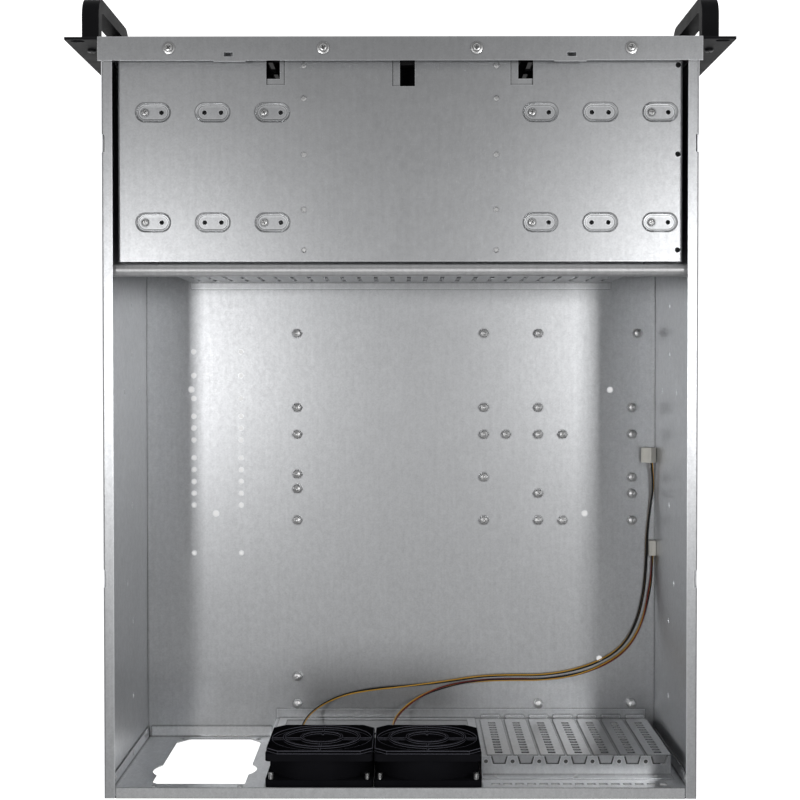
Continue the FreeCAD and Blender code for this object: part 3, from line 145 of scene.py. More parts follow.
# Galvanised sheet: small zinc crystals, cloudy dulling and fine rolling lines along the case
def makeSpangleGroup():
    tree, source, sink = nodeGroup(
        "zincSpangle", {"Crystal Scale": 900.0, "Crystal Strength": 0.09, "Roughness": 0.36},
        ("Tone", "Roughness", "Height"))
    place = objectPlace(tree)
    cells = tree.nodes.new("ShaderNodeTexVoronoi")
    tree.links.new(place, cells.inputs["Vector"])
    tree.links.new(source.outputs["Crystal Scale"], cells.inputs["Scale"])
    chance = tree.nodes.new("ShaderNodeSeparateColor")     # a random number for each crystal
    tree.links.new(cells.outputs["Color"], chance.inputs[0])
    crystal = product(tree, difference(tree, chance.outputs[0], 0.5), source.outputs["Crystal Strength"])
    cloud = noiseNode(tree, place, spangle["cloudScale"])
    patch = noiseNode(tree, stretched(tree, place, spangle["patchStretch"]), 1.0, spangle["detail"])
    lines = noiseNode(tree, stretched(tree, place, spangle["lineStretch"]), 1.0, spangle["detail"])
    tone = total(tree, 1.0, product(tree, cloud, spangle["cloudTone"]))
    tone = total(tree, tone, product(tree, patch, spangle["patchTone"]))
    tone = total(tree, tone, crystal)
    tone = total(tree, tone, product(tree, lines, spangle["lineTone"]))
    rough = total(tree, source.outputs["Roughness"], product(tree, cloud, spangle["cloudGloss"]))
    rough = total(tree, rough, product(tree, crystal, spangle["crystalGloss"]))
    height = total(tree, product(tree, chance.outputs[1], spangle["crystalRelief"]), lines)
    for value, label in ((tone, "Tone"), (rough, "Roughness"), (height, "Height")):
        tree.links.new(value, sink.inputs[label])
    return tree


fineGrain = {"cloudScale": 60.0, "cloudTone": 0.5}


# Moulded or sprayed surface: a fine grain, with slow changes of gloss as on handled parts
def makeGrainGroup():
    tree, source, sink = nodeGroup(
        "fineGrain", {"Grain Scale": 900.0, "Roughness": 0.45, "Gloss Change": 0.2},
        ("Tone", "Roughness", "Height"))
    place = objectPlace(tree)
    grain = tree.nodes.new("ShaderNodeTexNoise")
    tree.links.new(place, grain.inputs["Vector"])
    tree.links.new(source.outputs["Grain Scale"], grain.inputs["Scale"])
    cloud = noiseNode(tree, place, fineGrain["cloudScale"])
    tone = total(tree, 1.0, product(tree, cloud, fineGrain["cloudTone"]))
    rough = total(tree, source.outputs["Roughness"], product(tree, cloud, source.outputs["Gloss Change"]))
    for value, label in ((tone, "Tone"), (rough, "Roughness"), (grain.outputs["Fac"], "Height")):
        tree.links.new(value, sink.inputs[label])
    return tree


paintedEdgeLight = {"samples": 4, "creasePower": 2.0, "least": 0.03}


# Painted highlights on thin sheet edges, or painted shade there where the gain is negative,
# and painted shade in creases
def makeEdgeGroup():
    tree, source, sink = nodeGroup(
        "paintedEdgeLight", {"Edge Gain": 0.5, "Crease Loss": 0.6, "Crease Reach": 0.003, "Edge Reach": 0.0008,
                     "Most": 1.35}, ("Factor",))

    def occlusion(reach, inside):
        node = tree.nodes.new("ShaderNodeAmbientOcclusion")
        node.inside = inside
        node.samples = paintedEdgeLight["samples"]
        tree.links.new(source.outputs[reach], node.inputs["Distance"])
        return node.outputs["AO"]

    thin = difference(tree, 1.0, occlusion("Edge Reach", True))
    thinEdgeLight = product(tree, thin, source.outputs["Edge Gain"])
    clear = mathNode(tree, "POWER", occlusion("Crease Reach", False), paintedEdgeLight["creasePower"])
    shaded = product(tree, difference(tree, 1.0, clear), source.outputs["Crease Loss"])
    factor = product(tree, total(tree, 1.0, thinEdgeLight), difference(tree, 1.0, shaded))
    factor = mathNode(tree, "MINIMUM", factor, source.outputs["Most"])
    factor = mathNode(tree, "MAXIMUM", factor, paintedEdgeLight["least"])
    tree.links.new(factor, sink.inputs["Factor"])
    return tree


# Oval screw lands on the drive bay, in metres. Each stop is a place on the ring, which runs from inside
# the oval's line (less than zero) to outside it, and the tone there before the ramp softens it.
# Tones above 1 are painted highlights and tones below 1 are painted shade on the rims
lands = {"near": 0.0929, "shift": 0.0092, "pitch": 0.0434, "lastColumn": 2.0,
         "front": -0.223, "rows": 0.0798, "lastRow": 1.0, "length": 0.026, "width": 0.0145,
         "ring": (-0.005, 0.001), "slope": (-0.0032, 0.0), "relief": 9.0,
         "stops": [(-0.0048, 1.0), (-0.0038, 1.05), (-0.0032, 1.35), (-0.0025, 0.32), (-0.0018, 1.3),
                   (-0.0007, 1.42), (0.0, 1.2), (0.0004, 0.4), (0.0009, 1.0)]}


# Pressed rims of the sunk lands: shoulders, foot line and slope, from the distance to the nearest oval;
# the tone paints their highlights and shade, and only the slope is relief
def makeLandGroup():
    tree, source, sink = nodeGroup("sunkLands", {}, ("Tone", "Height"))
    place = tree.nodes.new("ShaderNodeSeparateXYZ")
    tree.links.new(objectPlace(tree), place.inputs[0])
    across, along = place.outputs["X"], place.outputs["Y"]

    def fromNearest(value, pitch, last):
        steps = mathNode(tree, "ROUND", mathNode(tree, "DIVIDE", value, pitch))
        steps = mathNode(tree, "MINIMUM", mathNode(tree, "MAXIMUM", steps, 0.0), last)
        return difference(tree, value, product(tree, steps, pitch))

    shift = product(tree, mathNode(tree, "LESS_THAN", across, 0.0), lands["shift"])
    outward = difference(tree, mathNode(tree, "ABSOLUTE", across), lands["near"])
    outward = fromNearest(difference(tree, outward, shift), lands["pitch"], lands["lastColumn"])
    onward = fromNearest(difference(tree, along, lands["front"]), lands["rows"], lands["lastRow"])
    radius = lands["width"] / 2
    beyond = difference(tree, mathNode(tree, "ABSOLUTE", outward), lands["length"] / 2 - radius)
    beyond = mathNode(tree, "MAXIMUM", beyond, 0.0)
    square = total(tree, product(tree, beyond, beyond), product(tree, onward, onward))
    distance = difference(tree, mathNode(tree, "SQRT", square), radius)
    ramp = tree.nodes.new("ShaderNodeValToRGB")
    ramp.color_ramp.interpolation = "EASE"
    while len(ramp.color_ramp.elements) < len(lands["stops"]):
        ramp.color_ramp.elements.new(0.5)
    start, stop = lands["ring"]
    for element, (spot, tone) in zip(ramp.color_ramp.elements, lands["stops"]):
        element.position = (spot - start) / (stop - start)
        element.color = (tone / 2, tone / 2, tone / 2, 1.0)     # halved here and doubled after the ramp
    tree.links.new(rampNode(tree, distance, start, stop), ramp.inputs[0])
    tree.links.new(product(tree, ramp.outputs[0], 2.0), sink.inputs["Tone"])
    slope = rampNode(tree, distance, *lands["slope"])
    tree.links.new(product(tree, slope, lands["relief"]), sink.inputs["Height"])
    return tree


edgeGroup = makeEdgeGroup()
landGroup = makeLandGroup()
spangleGroup = makeSpangleGroup()
grainGroup = makeGrainGroup()


# A material whose colour, gloss and relief come from a pattern group, with painted highlights on edges,
# painted shade in creases and sunk lands with painted highlights and shade on their rims, where they are
# asked for; bump is the height of the relief in metres
def surface(name, group, colour, metallic, bump, settings=None, specular=0.5, edges=None, landed=False):
    material = bpy.data.materials.new(name)
    material.use_nodes = True
    tree = material.node_tree
    shader = tree.nodes["Principled BSDF"]
    pattern = placedGroup(tree, group, settings or {})
    tone, height = pattern.outputs["Tone"], pattern.outputs["Height"]
    if edges:
        paintedEdges = placedGroup(tree, edgeGroup, edges)
        tone = product(tree, tone, paintedEdges.outputs["Factor"])
    if landed:
        pressed = placedGroup(tree, landGroup, {})
        tone = product(tree, tone, pressed.outputs["Tone"])
        height = total(tree, height, pressed.outputs["Height"])
    tint = tree.nodes.new("ShaderNodeMix")
    tint.data_type = "RGBA"
    tint.blend_type = "MULTIPLY"
    tint.inputs[0].default_value = 1.0
    tint.inputs[6].default_value = (*colour, 1.0)     # 6 and 7 are the two colours of the mix
    tree.links.new(tone, tint.inputs[7])
    tree.links.new(tint.outputs[2], shader.inputs["Base Color"])
    tree.links.new(pattern.outputs["Roughness"], shader.inputs["Roughness"])
    relief = tree.nodes.new("ShaderNodeBump")
    relief.inputs["Distance"].default_value = bump
    relief.inputs["Strength"].default_value = 0.5
    tree.links.new(height, relief.inputs["Height"])
    tree.links.new(relief.outputs[0], shader.inputs["Normal"])
    shader.inputs["Metallic"].default_value = metallic
    shader.inputs["Specular IOR Level"].default_value = specular
    return material


# Edge settings paint light into the colour: a positive Edge Gain is a painted highlight on thin edges, a
# negative one is painted shade, as on the slits and dashes of the slotted and bright sheet, and Crease Loss
# is painted shade in creases and recesses
materials = {
    "zinc_steel": surface(
        "zincSheet", spangleGroup, (0.69, 0.70, 0.715), 1.0, 0.00002,
        edges={"Edge Gain": 1.0, "Crease Loss": 0.6, "Crease Reach": 0.0016}),
    "zinc_slotted": surface(
        "zincSlotted", spangleGroup, (0.84, 0.85, 0.865), 1.0, 0.00002,
        edges={"Edge Gain": -1.4, "Crease Loss": 0.8, "Crease Reach": 0.002, "Edge Reach": 0.0006}),
    "zinc_lands": surface(
        "zincLands", spangleGroup, (0.69, 0.70, 0.715), 1.0, 0.00002, landed=True,
        edges={"Edge Gain": 0.8, "Crease Loss": 0.85, "Crease Reach": 0.0015}),
    # A lighter copy of the zinc sheet, whose lighter colour paints the crossbar's broad highlight
    "zinc_tube": surface(
        "zincTube", spangleGroup, (0.90, 0.90, 0.91), 1.0, 0.00001,
        {"Crystal Strength": 0.05, "Roughness": 0.5}),
    "zinc_bright": surface(
        "zincBright", spangleGroup, (0.66, 0.665, 0.675), 1.0, 0.00001,
        {"Crystal Strength": 0.06, "Roughness": 0.3},
        edges={"Edge Gain": -1.9, "Crease Loss": 0.9, "Crease Reach": 0.002, "Edge Reach": 0.00055}),
    "black_steel": surface(
        "blackPowderCoat", grainGroup, (0.012, 0.012, 0.013), 0.0, 0.00004,
        {"Grain Scale": 1500.0, "Roughness": 0.42}, 0.02,
        edges={"Edge Gain": 2.5, "Crease Loss": 0.0, "Crease Reach": 0.002, "Edge Reach": 0.0008,
               "Most": 3.0}),
    "black_plastic": surface(
        "blackPlastic", grainGroup, (0.004, 0.004, 0.005), 0.0, 0.00002,
        {"Grain Scale": 2200.0, "Roughness": 0.5}, 0.3),
    "fan_plastic": surface(
        "fanPlastic", grainGroup, (0.010, 0.010, 0.012), 0.0, 0.00002,
        {"Grain Scale": 2200.0, "Roughness": 0.45}, 0.0),
    # Black wire guard whose rings get their light grey from a large Edge Gain: painted highlights on a black
    # base
    "guard_wire": surface(
        "blackWire", grainGroup, (0.005, 0.005, 0.006), 0.0, 0.00001,
        {"Grain Scale": 1200.0, "Roughness": 0.3}, 0.0,
        edges={"Edge Gain": 90.0, "Crease Loss": 0.0, "Crease Reach": 0.002, "Edge Reach": 0.0005,
               "Most": 45.0}),
    "screw_steel": surface(
        "screwSteel", grainGroup, (0.86, 0.86, 0.86), 1.0, 0.00001,
        {"Grain Scale": 3000.0, "Roughness": 0.33, "Gloss Change": 0.1},
        edges={"Edge Gain": 0.4, "Crease Loss": 0.9, "Crease Reach": 0.001}),
    "screw_black": surface(
        "blackenedScrew", grainGroup, (0.03, 0.03, 0.032), 0.6, 0.00001,
        {"Grain Scale": 3000.0, "Roughness": 0.35, "Gloss Change": 0.1}),
    "standoff_steel": surface(
        "standoffSteel", grainGroup, (0.97, 0.97, 0.97), 1.0, 0.00001,
        {"Grain Scale": 3000.0, "Roughness": 0.4, "Gloss Change": 0.1}),
    "connector_plastic": surface(
        "connectorNylon", grainGroup, (0.93, 0.91, 0.84), 0.0, 0.00001,
        {"Grain Scale": 900.0, "Roughness": 0.5}),
    "lamp_lens": surface(
        "lampLens", grainGroup, (0.75, 0.85, 0.78), 0.0, 0.0, {"Grain Scale": 900.0, "Roughness": 0.15})}

strandColours = {"black": (0.012, 0.012, 0.012), "red": (0.22, 0.02, 0.015), "yellow": (0.75, 0.41, 0.05)}
for colourName, colour in strandColours.items():
    materials["strand_" + colourName] = surface(
        "strand" + colourName.title(), grainGroup, colour, 0.0, 0.00001,
        {"Grain Scale": 700.0, "Roughness": 0.4})

# Nodes that look different from the rest of their slot
ownLook = {"rear_panel": "zinc_slotted", "bay_cage": "zinc_lands", "crossbar": "zinc_tube",
           "port_plate": "zinc_bright", "handle_screws": "screw_black", "board_standoffs": "standoff_steel"}


# The material slot that the record gives for a CAD node
def recordSlot(node):
    return next(part["material_slot"] for part in frame["record"]["subparts"] if part["node"] == node)


def materialFor(node):
    if node in ownLook:
        return materials[ownLook[node]]
    if node.startswith("slot_cover"):
        return materials["zinc_bright"]
    if node.endswith("_guard"):
        return materials["guard_wire"]
    if "_fan_" in node and node.endswith(("_frame", "_rotor")):
        return materials["fan_plastic"]
    if node.startswith("fan_lead") and not node.endswith("connector"):
        return materials["strand_black"]
    return materials[recordSlot(node)]


for node, item in nodes.items():
    item.data.materials.clear()
    item.data.materials.append(materialFor(node))
print("materials made", len(materials))

view = {"place": (-0.00393, -0.03496, 1.21877), "target": (0.00074, -0.01063, 0.0), "up": (0.0, -1.0, 0.0),
        "lens": 65.1, "sensor": 36.0, "roll": -0.02, "nearest": 0.01}


# Looks down into the open case, with the front at the top of the view
def makeCamera():
    lens = bpy.data.cameras.new("viewCamera")
    lens.lens = view["lens"]
    lens.sensor_width = view["sensor"]
    lens.clip_start = view["nearest"]
    camera = bpy.data.objects.new("viewCamera", lens)
    bpy.context.scene.collection.objects.link(camera)
    place = Vector(view["place"])
    forward = (Vector(view["target"]) - place).normalized()
    right = forward.cross(Vector(view["up"])).normalized()
    up = right.cross(forward)
    turn = Matrix((right, up, -forward)).transposed().to_4x4()
    roll = Matrix.Rotation(math.radians(view["roll"]), 4, "Z")
    camera.matrix_world = Matrix.Translation(place) @ turn @ roll
    bpy.context.scene.camera = camera


# 1 for rays that show the background itself, and 0 for rays that light the object
def seenDirectly(tree):
    path = tree.nodes.new("ShaderNodeLightPath")
    return mathNode(tree, "MAXIMUM", path.outputs["Is Camera Ray"], path.outputs["Is Transmission Ray"])


# Where each mask on the floor starts and where it is full, in metres from the middle of the case
floorMask = {"front": (-0.314, -0.296), "rear": (0.328, 0.308), "sides": (0.252, 0.234),
             "underEnds": (0.272, 0.262), "underSides": (0.216, 0.210),
             "supplySide": (0.100, 0.108), "supplyRear": (0.262, 0.270)}


# Two masks of painted shadow on the floor: the field close around the case, without the patch behind the
# supply's opening, and the field under the case
def contactShade(tree):
    place = tree.nodes.new("ShaderNodeSeparateXYZ")
    tree.links.new(objectPlace(tree), place.inputs[0])
    across, along = place.outputs["X"], place.outputs["Y"]
    outward = mathNode(tree, "ABSOLUTE", across)
    near = product(tree, rampNode(tree, along, *floorMask["front"]),
                   rampNode(tree, along, *floorMask["rear"]))
    near = product(tree, near, rampNode(tree, outward, *floorMask["sides"]))
    under = product(tree, rampNode(tree, mathNode(tree, "ABSOLUTE", along), *floorMask["underEnds"]),
                    rampNode(tree, outward, *floorMask["underSides"]))
    supply = product(tree, rampNode(tree, across, *floorMask["supplySide"]),
                     rampNode(tree, along, *floorMask["supplyRear"]))
    around = product(tree, product(tree, near, difference(tree, 1.0, supply)), difference(tree, 1.0, under))
    return around, product(tree, under, near)


# pale is the floor's own colour; dark, underTone, aroundLoss and underLoss paint the shadow around and under
# the case
floorLook = {"half": 3.0, "drop": 0.0005, "pale": 0.8, "dark": 0.02, "roughness": 0.9, "underTone": 0.75,
             "glow": 0.92, "aroundLoss": 0.88, "underLoss": 0.25, "mirrored": 0.7}


# A pale floor that reads as white, with a painted shadow close around the case and under it
def makeFloor():
    half = floorLook["half"]
    mesh = bpy.data.meshes.new("floor")
    corners = [(-half, -half, 0), (half, -half, 0), (half, half, 0), (-half, half, 0)]
    mesh.from_pydata(corners, [], [(0, 1, 2, 3)])
    floor = bpy.data.objects.new("floor", mesh)
    floor.location.z = cadBox[0][2] - floorLook["drop"]
    bpy.context.scene.collection.objects.link(floor)
    material = bpy.data.materials.new("paleFloor")
    material.use_nodes = True
    tree = material.node_tree
    matte = tree.nodes["Principled BSDF"]
    around, under = contactShade(tree)
    tone = tree.nodes.new("ShaderNodeMix")
    tone.data_type = "RGBA"
    for spot, level in ((6, floorLook["pale"]), (7, floorLook["dark"])):
        tone.inputs[spot].default_value = (level, level, level, 1.0)
    shaded = mathNode(tree, "MAXIMUM", around, product(tree, under, floorLook["underTone"]))
    tree.links.new(shaded, tone.inputs[0])
    tree.links.new(tone.outputs[2], matte.inputs["Base Color"])
    matte.inputs["Roughness"].default_value = floorLook["roughness"]
    glow = tree.nodes.new("ShaderNodeEmission")
    path = tree.nodes.new("ShaderNodeLightPath")
    mirrored = product(tree, path.outputs["Is Glossy Ray"], floorLook["mirrored"])
    seen = mathNode(tree, "MAXIMUM", seenDirectly(tree), mirrored)
    level = difference(tree, floorLook["glow"], product(tree, around, floorLook["aroundLoss"]))
    level = difference(tree, level, product(tree, under, floorLook["underLoss"]))
    tree.links.new(product(tree, seen, level), glow.inputs["Strength"])
    both = tree.nodes.new("ShaderNodeAddShader")
    tree.links.new(matte.outputs[0], both.inputs[0])
    tree.links.new(glow.outputs[0], both.inputs[1])
    tree.links.new(both.outputs[0], tree.nodes["Material Output"].inputs["Surface"])
    mesh.materials.append(material)


# Horizon is the white band that metal mirrors: where it starts, and from where down it is full
studio = {"ambient": 0.14, "roomLight": 0.5, "horizon": 0.6, "horizonHeights": (0.5, 0.2),
          "softboxes": {     # place, aim, width and length, power
              "left": ((0.462, -0.05, 1.45), (0.12, -0.03, 0.0), (0.10, 0.22), 1.9),
              "right": ((-0.564, -0.10, 1.45), (-0.12, -0.03, 0.0), (0.15, 0.24), 2.6),
              "rear": ((0.0, 0.55, 1.6), (0.0, 0.1, 0.0), (1.3, 0.5), 0.8)}}


# White where it is seen, also by metal along the horizon, and a dim grey overhead
def makeWorld():
    world = bpy.data.worlds.new("studio")
    bpy.context.scene.world = world
    world.use_nodes = True
    tree = world.node_tree
    background = tree.nodes["Background"]
    direction = tree.nodes.new("ShaderNodeSeparateXYZ")
    tree.links.new(tree.nodes.new("ShaderNodeTexCoord").outputs["Generated"], direction.inputs[0])
    path = tree.nodes.new("ShaderNodeLightPath")
    low = rampNode(tree, direction.outputs["Z"], *studio["horizonHeights"])
    horizon = product(tree, product(tree, path.outputs["Is Glossy Ray"], low), studio["horizon"])
    dull = product(tree, path.outputs["Is Diffuse Ray"], studio["roomLight"])
    level = mathNode(tree, "MAXIMUM", mathNode(tree, "MAXIMUM", seenDirectly(tree), horizon), dull)
    level = mathNode(tree, "MAXIMUM", level, studio["ambient"])
    tree.links.new(level, background.inputs["Strength"])
    background.inputs["Color"].default_value = (1.0, 1.0, 1.0, 1.0)


def makeLights():
    for name, (place, aim, size, power) in studio["softboxes"].items():
        lamp = bpy.data.lights.new(name, "AREA")
        lamp.shape = "RECTANGLE"
        lamp.size, lamp.size_y = size
        lamp.energy = power
        item = bpy.data.objects.new(name, lamp)
        bpy.context.scene.collection.objects.link(item)
        back = (Vector(place) - Vector(aim)).normalized()
        across = Vector((0.0, 1.0, 0.0)).cross(back).normalized()
        turn = Matrix((across, back.cross(across), back)).transposed().to_4x4()
        item.matrix_world = Matrix.Translation(place) @ turn


makeCamera()
makeFloor()
makeWorld()
makeLights()
bpy.context.scene.view_settings.view_transform = "Standard"
print("stage ready")


# Low and high corner of each separate solid of a CAD node, in the order of its vertices
def solidBoxes(node):
    item = nodes[node]
    mesh = bmesh.new()
    mesh.from_mesh(item.data)
    mesh.transform(item.matrix_world)
    bmesh.ops.remove_doubles(mesh, verts=mesh.verts, dist=1e-6)
    boxes, seen = [], set()
    for first in mesh.verts:
        if first in seen:
            continue
        seen.add(first)
        group, front = [], [first]
        while front:
            vertex = front.pop()
            group.append(vertex.co.copy())
            for edge in vertex.link_edges:
                other = edge.other_vert(vertex)
                if other not in seen:
                    seen.add(other)
                    front.append(other)
        low, high = ([pick(point[axis] for point in group) for axis in range(3)] for pick in (min, max))
        boxes.append((Vector(low), Vector(high)))
    mesh.free()
    return boxes


# An object from a worked mesh, with its faces turned outwards
def objectFrom(name, mesh):
    bmesh.ops.recalc_face_normals(mesh, faces=mesh.faces)
    data = bpy.data.meshes.new(name)
    mesh.to_mesh(data)
    mesh.free()
    item = bpy.data.objects.new(name, data)
    bpy.context.scene.collection.objects.link(item)
    return item


# The mesh of an object with its modifiers, after which the modifiers go
def evaluated(item):
    bpy.context.view_layer.update()
    data = bpy.data.meshes.new_from_object(item.evaluated_get(bpy.context.evaluated_depsgraph_get()))
    item.modifiers.clear()
    return data


# Faces between rings of vertices that follow each other
def joinRings(mesh, rings, material=0, smooth=False):
    count = len(rings[0])
    for first, second in zip(rings, rings[1:]):
        for step in range(count):
            after = (step + 1) % count
            face = mesh.faces.new((first[step], first[after], second[after], second[step]))
            face.material_index = material
            face.smooth = smooth
    for ring in (rings[0], rings[-1]):
        mesh.faces.new(ring).material_index = material


# A closed solid of rings about Z: each has a radius, or a function of the angle, and a height, in mm
def turnedMesh(name, rings, steps=24):
    mesh = bmesh.new()
    loops = []
    for radius, height in rings:
        loop = []
        for step in range(steps):
            angle = math.tau * step / steps
            reach = (radius(angle) if callable(radius) else radius) * millimetre
            x, y = reach * math.cos(angle), reach * math.sin(angle)
            loop.append(mesh.verts.new((x, y, height * millimetre)))
        loops.append(loop)
    joinRings(mesh, loops)
    return objectFrom(name, mesh)


# In mm, but foot is the share of the plan at the bottom, and width a share of the reach
recess = {"foot": 0.55, "width": 0.42, "depth": 1.2, "over": 0.3}


# Cross recess in the top of a head, narrower at its foot
def cutCross(item, reach, top):
    half = reach * recess["width"] / 2
    plan = [(reach, -half), (reach, half), (half, half), (half, reach), (-half, reach), (-half, half),
            (-reach, half), (-reach, -half), (-half, -half), (-half, -reach), (half, -reach), (half, -half)]
    mesh = bmesh.new()
    rings = []
    for share, height in ((recess["foot"], top - recess["depth"]), (1.0, top + recess["over"])):
        size = share * millimetre
        rings.append([mesh.verts.new((x * size, y * size, height * millimetre)) for x, y in plan])
    joinRings(mesh, rings)
    cutter = objectFrom("recess", mesh)
    change = item.modifiers.new("recess", "BOOLEAN")
    change.operation = "DIFFERENCE"
    change.solver = "EXACT"
    change.object = cutter
    item.data = evaluated(item)
    bpy.data.objects.remove(cutter)


# A template on every point, tilted, and turned about its own axis by chance
def makeRepeatGroup():
    tree = bpy.data.node_groups.new("repeatOnPoints", "GeometryNodeTree")
    tree.interface.new_socket("Geometry", in_out="INPUT", socket_type="NodeSocketGeometry")
    kinds = {"Template": "Object", "Tilt": "Rotation", "Turn": "Float", "Material": "Material"}
    for label, kind in kinds.items():
        tree.interface.new_socket(label, in_out="INPUT", socket_type="NodeSocket" + kind)
    tree.interface.new_socket("Geometry", in_out="OUTPUT", socket_type="NodeSocketGeometry")
    source, sink = tree.nodes.new("NodeGroupInput"), tree.nodes.new("NodeGroupOutput")
    template = tree.nodes.new("GeometryNodeObjectInfo")
    spread = tree.nodes.new("GeometryNodeInstanceOnPoints")
    chance = tree.nodes.new("FunctionNodeRandomValue")
    chance.inputs["Seed"].default_value = 0
    about = tree.nodes.new("ShaderNodeCombineXYZ")
    turn = tree.nodes.new("GeometryNodeRotateInstances")
    real = tree.nodes.new("GeometryNodeRealizeInstances")
    paint = tree.nodes.new("GeometryNodeSetMaterial")
    for start, end in ((source.outputs["Template"], template.inputs["Object"]),
                       (source.outputs["Geometry"], spread.inputs["Points"]),
                       (template.outputs["Geometry"], spread.inputs["Instance"]),
                       (source.outputs["Tilt"], spread.inputs["Rotation"]),
                       (source.outputs["Turn"], chance.inputs[3]),     # the highest number it may give
                       (chance.outputs[1], about.inputs["Z"]),
                       (spread.outputs["Instances"], turn.inputs["Instances"]),
                       (about.outputs[0], turn.inputs["Rotation"]),
                       (turn.outputs["Instances"], real.inputs["Geometry"]),
                       (real.outputs["Geometry"], paint.inputs["Geometry"]),
                       (source.outputs["Material"], paint.inputs["Material"]),
                       (paint.outputs["Geometry"], sink.inputs["Geometry"])):
        tree.links.new(start, end)
    return tree


repeatGroup = makeRepeatGroup()
axes = {"up": (2, (0.0, 0.0, 0.0)), "back": (1, (-math.pi / 2, 0.0, 0.0))}     # axis number and tilt


# Puts a detailed copy at each solid of a CAD node and deletes the template, whose top is at the rise, in mm
def replaceFasteners(node, template, axis, rise, turn):
    index, tilt = axes[axis]
    points = []
    for low, high in solidBoxes(node):
        point = (low + high) / 2
        point[index] = high[index] - rise * millimetre
        points.append(tuple(point))
    mesh = bpy.data.meshes.new(node + "_detail")
    mesh.from_pydata(points, [], [])
    item = bpy.data.objects.new(node + "_detail", mesh)
    bpy.context.scene.collection.objects.link(item)
    change = item.modifiers.new("repeat", "NODES")
    change.node_group = repeatGroup
    values = {"Template": template, "Tilt": tilt, "Turn": turn, "Material": materialFor(node)}
    for socket in repeatGroup.interface.items_tree:
        if socket.in_out == "INPUT" and socket.name in values:
            change[socket.identifier] = values[socket.name]
    item.data = evaluated(item)
    bpy.data.objects.remove(template)
    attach(item, "case")
    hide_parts(node)


# Head and shank radius, shank length, radius of the inner head and reach of the recess, in mm
screws = {
    "rail_screws": {"head": 4.5, "shank": 1.5, "length": 2.0, "inner": 2.9, "recess": 1.75, "axis": "up"},
    "drive_screws": {"head": 2.6, "shank": 1.5, "length": 1.0, "inner": 2.6, "recess": 1.5, "axis": "up"},
    "handle_screws": {"head": 3.2, "shank": 1.95, "length": 9.0, "inner": 3.2, "recess": 1.8, "axis": "back"},
    "rear_fan_left_screws": {"head": 3.2, "shank": 2.0, "length": 11.0, "inner": 3.2, "recess": 1.8,
                             "axis": "back"},
    "rear_fan_right_screws": {"head": 3.2, "shank": 2.0, "length": 11.0, "inner": 3.2, "recess": 1.8,
                              "axis": "back"}}
screwHead = 2.0
screwSides = 28
thread = {"step": 0.35, "core": 0.82, "end": -0.4}     # core is a share of the shank's radius


# Cross-recess screw with rolled threads, and a fixed washer where the head is wider than its inner part
def makeScrew(name, size):
    head, inner, shank = size["head"], size["inner"], size["shank"]
    rings, height, ridge = [], -size["length"], True
    while height < thread["end"]:
        rings.append((shank if ridge else shank * thread["core"], height))
        height += thread["step"]
        ridge = not ridge
    rings += [(shank * 0.9, -0.2), (shank * 0.95, 0.0), (head * 0.97, 0.0)]
    if inner < head:
        rings += [(head, 0.15), (head * 0.96, 0.5), (inner * 1.06, 0.72), (inner, 0.62)]
    else:
        rings.append((head, 0.2))
    rings += [(inner, 1.1), (inner * 0.94, 1.5), (inner * 0.78, 1.82), (inner * 0.5, screwHead)]
    item = turnedMesh(name + "_one", rings, screwSides)
    cutCross(item, size["recess"], screwHead)
    return item


for node, size in screws.items():
    replaceFasteners(node, makeScrew(node, size), size["axis"], screwHead, math.tau)
print("screws made", len(screws), "sets")

# Across flats, heights and radii in mm
standoff = {"flats": 6.4, "hexHeight": 5.0, "corner": 3.25, "height": 6.3, "bore": 0.75, "boreFoot": 4.5}


# Radius of the hexagon with a corner on +X, by angle
def hexPost(angle):
    return standoff["flats"] / 2 / math.cos(math.radians(30) - angle % math.radians(60))


# The hexagon with its corners turned off, where the shoulder starts
def turnedPost(angle):
    return min(hexPost(angle), standoff["corner"]) * 0.99


template = turnedMesh("standoff_one", [(hexPost, 0.0), (hexPost, standoff["hexHeight"]), (turnedPost, 5.4),
                                       (2.95, 5.68), (1.0, standoff["height"]), (0.8, 6.15),
                                       (standoff["bore"], standoff["boreFoot"])])
replaceFasteners("board_standoffs", template, "up", standoff["height"], 0.0)
print("standoffs made")

# Routes in mm from the fan to the plug, lengths in m; start is the angle of the first strand
leads = {
    "left": {"route": [(80, 252, 72), (79.3, 250.5, 55), (76, 247.5, 36), (69, 244.5, 19), (58, 240.8, 7),
                       (43, 236.5, 2.8), (20, 233, 2.5), (-8, 230.6, 2.5), (-38, 227, 2.5), (-66, 222.6, 2.5),
                       (-92, 221.5, 2.5), (-118, 221.6, 2.5), (-144, 218, 2.5), (-168, 210, 2.5),
                       (-187.2, 197, 2.5), (-199, 176, 2.5), (-204.7, 151, 2.5), (-206.6, 127, 2.5),
                       (-207, 103, 2.7), (-209.5, 80, 4.4), (-212.2, 61, 7), (-209.7, 41.6, 9)],
             "length": 0.483, "strands": ("black", "yellow", "black"), "turns": 0.9, "start": 4.09},
    "right": {"route": [(7, 252, 72), (6.5, 250.5, 55), (3, 248, 36), (-4, 244.5, 19), (-14, 240, 7),
                        (-27, 234.5, 2.8), (-46, 229, 2.5), (-70, 225.8, 2.5), (-94, 225.2, 2.5),
                        (-119, 225.3, 2.5), (-145.3, 222, 2.5), (-171, 213.5, 2.5), (-190.6, 200, 2.5),
                        (-203.3, 178.3, 2.5), (-208.9, 152.5, 2.6), (-211.6, 134, 3.4), (-211.3, 119.8, 4.6)],
              "length": 0.34, "strands": ("yellow", "black", "red"), "turns": 1.667, "start": 1.57}}
leadWidth = 0.0024
strandRadius = 0.00052
strandSides = 10
twist = {"waver": 0.1, "waverPace": 19.0, "flatness": 0.9}     # waver is in turns


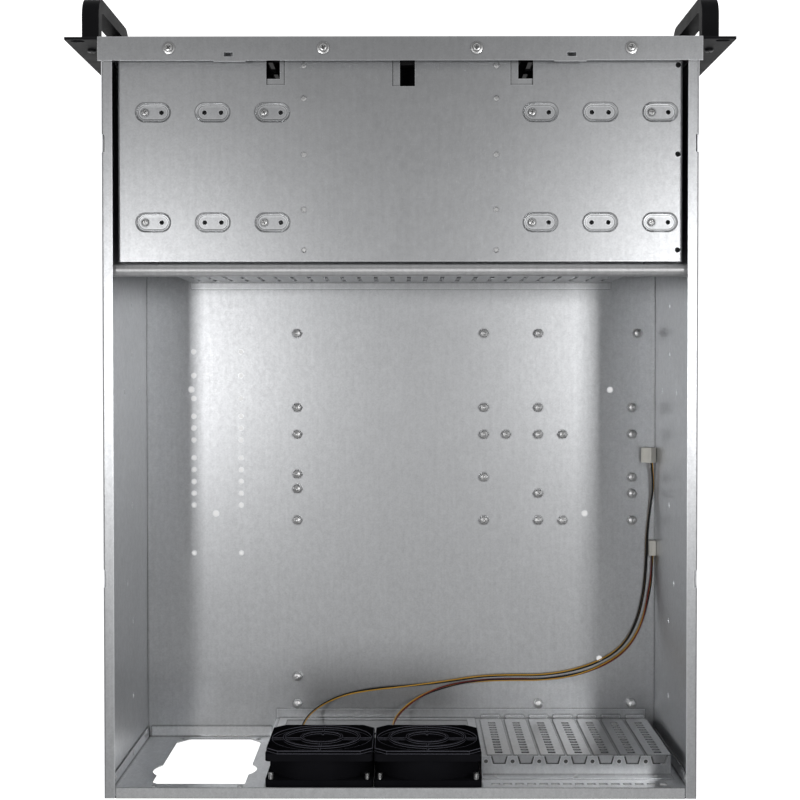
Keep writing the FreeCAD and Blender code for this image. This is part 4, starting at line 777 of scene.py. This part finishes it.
# A smooth line through the space that the lead's route holds
def routeSpline(name, points):
    curve = bpy.data.curves.new(name, "CURVE")
    curve.dimensions = "3D"
    curve.resolution_u = 12
    spline = curve.splines.new("NURBS")
    spline.points.add(len(points) - 1)
    for spot, point in zip(spline.points, points):
        spot.co = (*(value * millimetre for value in point), 1.0)
    spline.order_u = 3
    spline.use_endpoint_u = True
    return curve


# Points along the smooth line of a curve that has no bevel
def linePoints(curve):
    helper = bpy.data.objects.new("helper", curve)
    bpy.context.scene.collection.objects.link(helper)
    mesh = evaluated(helper)
    points = [vertex.co.copy() for vertex in mesh.vertices]
    bpy.data.objects.remove(helper)
    bpy.data.meshes.remove(mesh)
    return points


# Rings of vertices along one strand, which winds about the lead's line; index is the strand's number
def strandRings(mesh, lead, index, points, along):
    rings = []
    for spot, point in enumerate(points):
        ahead = points[min(spot + 1, len(points) - 1)] - points[max(spot - 1, 0)]
        ahead.normalize()
        level = ahead.cross(Vector((0, 0, 1))).normalized()
        upright = level.cross(ahead)
        share = along[spot] / along[-1]
        waver = twist["waver"] * math.sin(twist["waverPace"] * share + index)
        angle = lead["start"] + math.tau * (index / 3 + lead["turns"] * share + waver)
        offset = level * math.cos(angle) + upright * math.sin(angle) * twist["flatness"]
        centre = point + offset * (leadWidth / 2 - strandRadius)
        ring = []
        for step in range(strandSides):
            turn = math.tau * step / strandSides
            around = level * math.cos(turn) + upright * math.sin(turn)
            ring.append(mesh.verts.new(centre + around * strandRadius))
        rings.append(ring)
    return rings


# Three soft insulated strands that lie loosely twisted along the lead's line
def makeLead(side):
    lead = leads[side]
    points = linePoints(routeSpline("line_" + side, lead["route"]))
    along = [0.0]
    for before, after in zip(points, points[1:]):
        along.append(along[-1] + (after - before).length)
    mesh = bmesh.new()
    for index in range(len(lead["strands"])):
        joinRings(mesh, strandRings(mesh, lead, index, points, along), index, True)
    item = objectFrom(f"fanLead_{side}", mesh)
    for colourName in lead["strands"]:
        item.data.materials.append(materials["strand_" + colourName])
    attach(item, "case")
    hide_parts(f"fan_lead_{side}")


for side in leads:
    makeLead(side)
print("leads made")
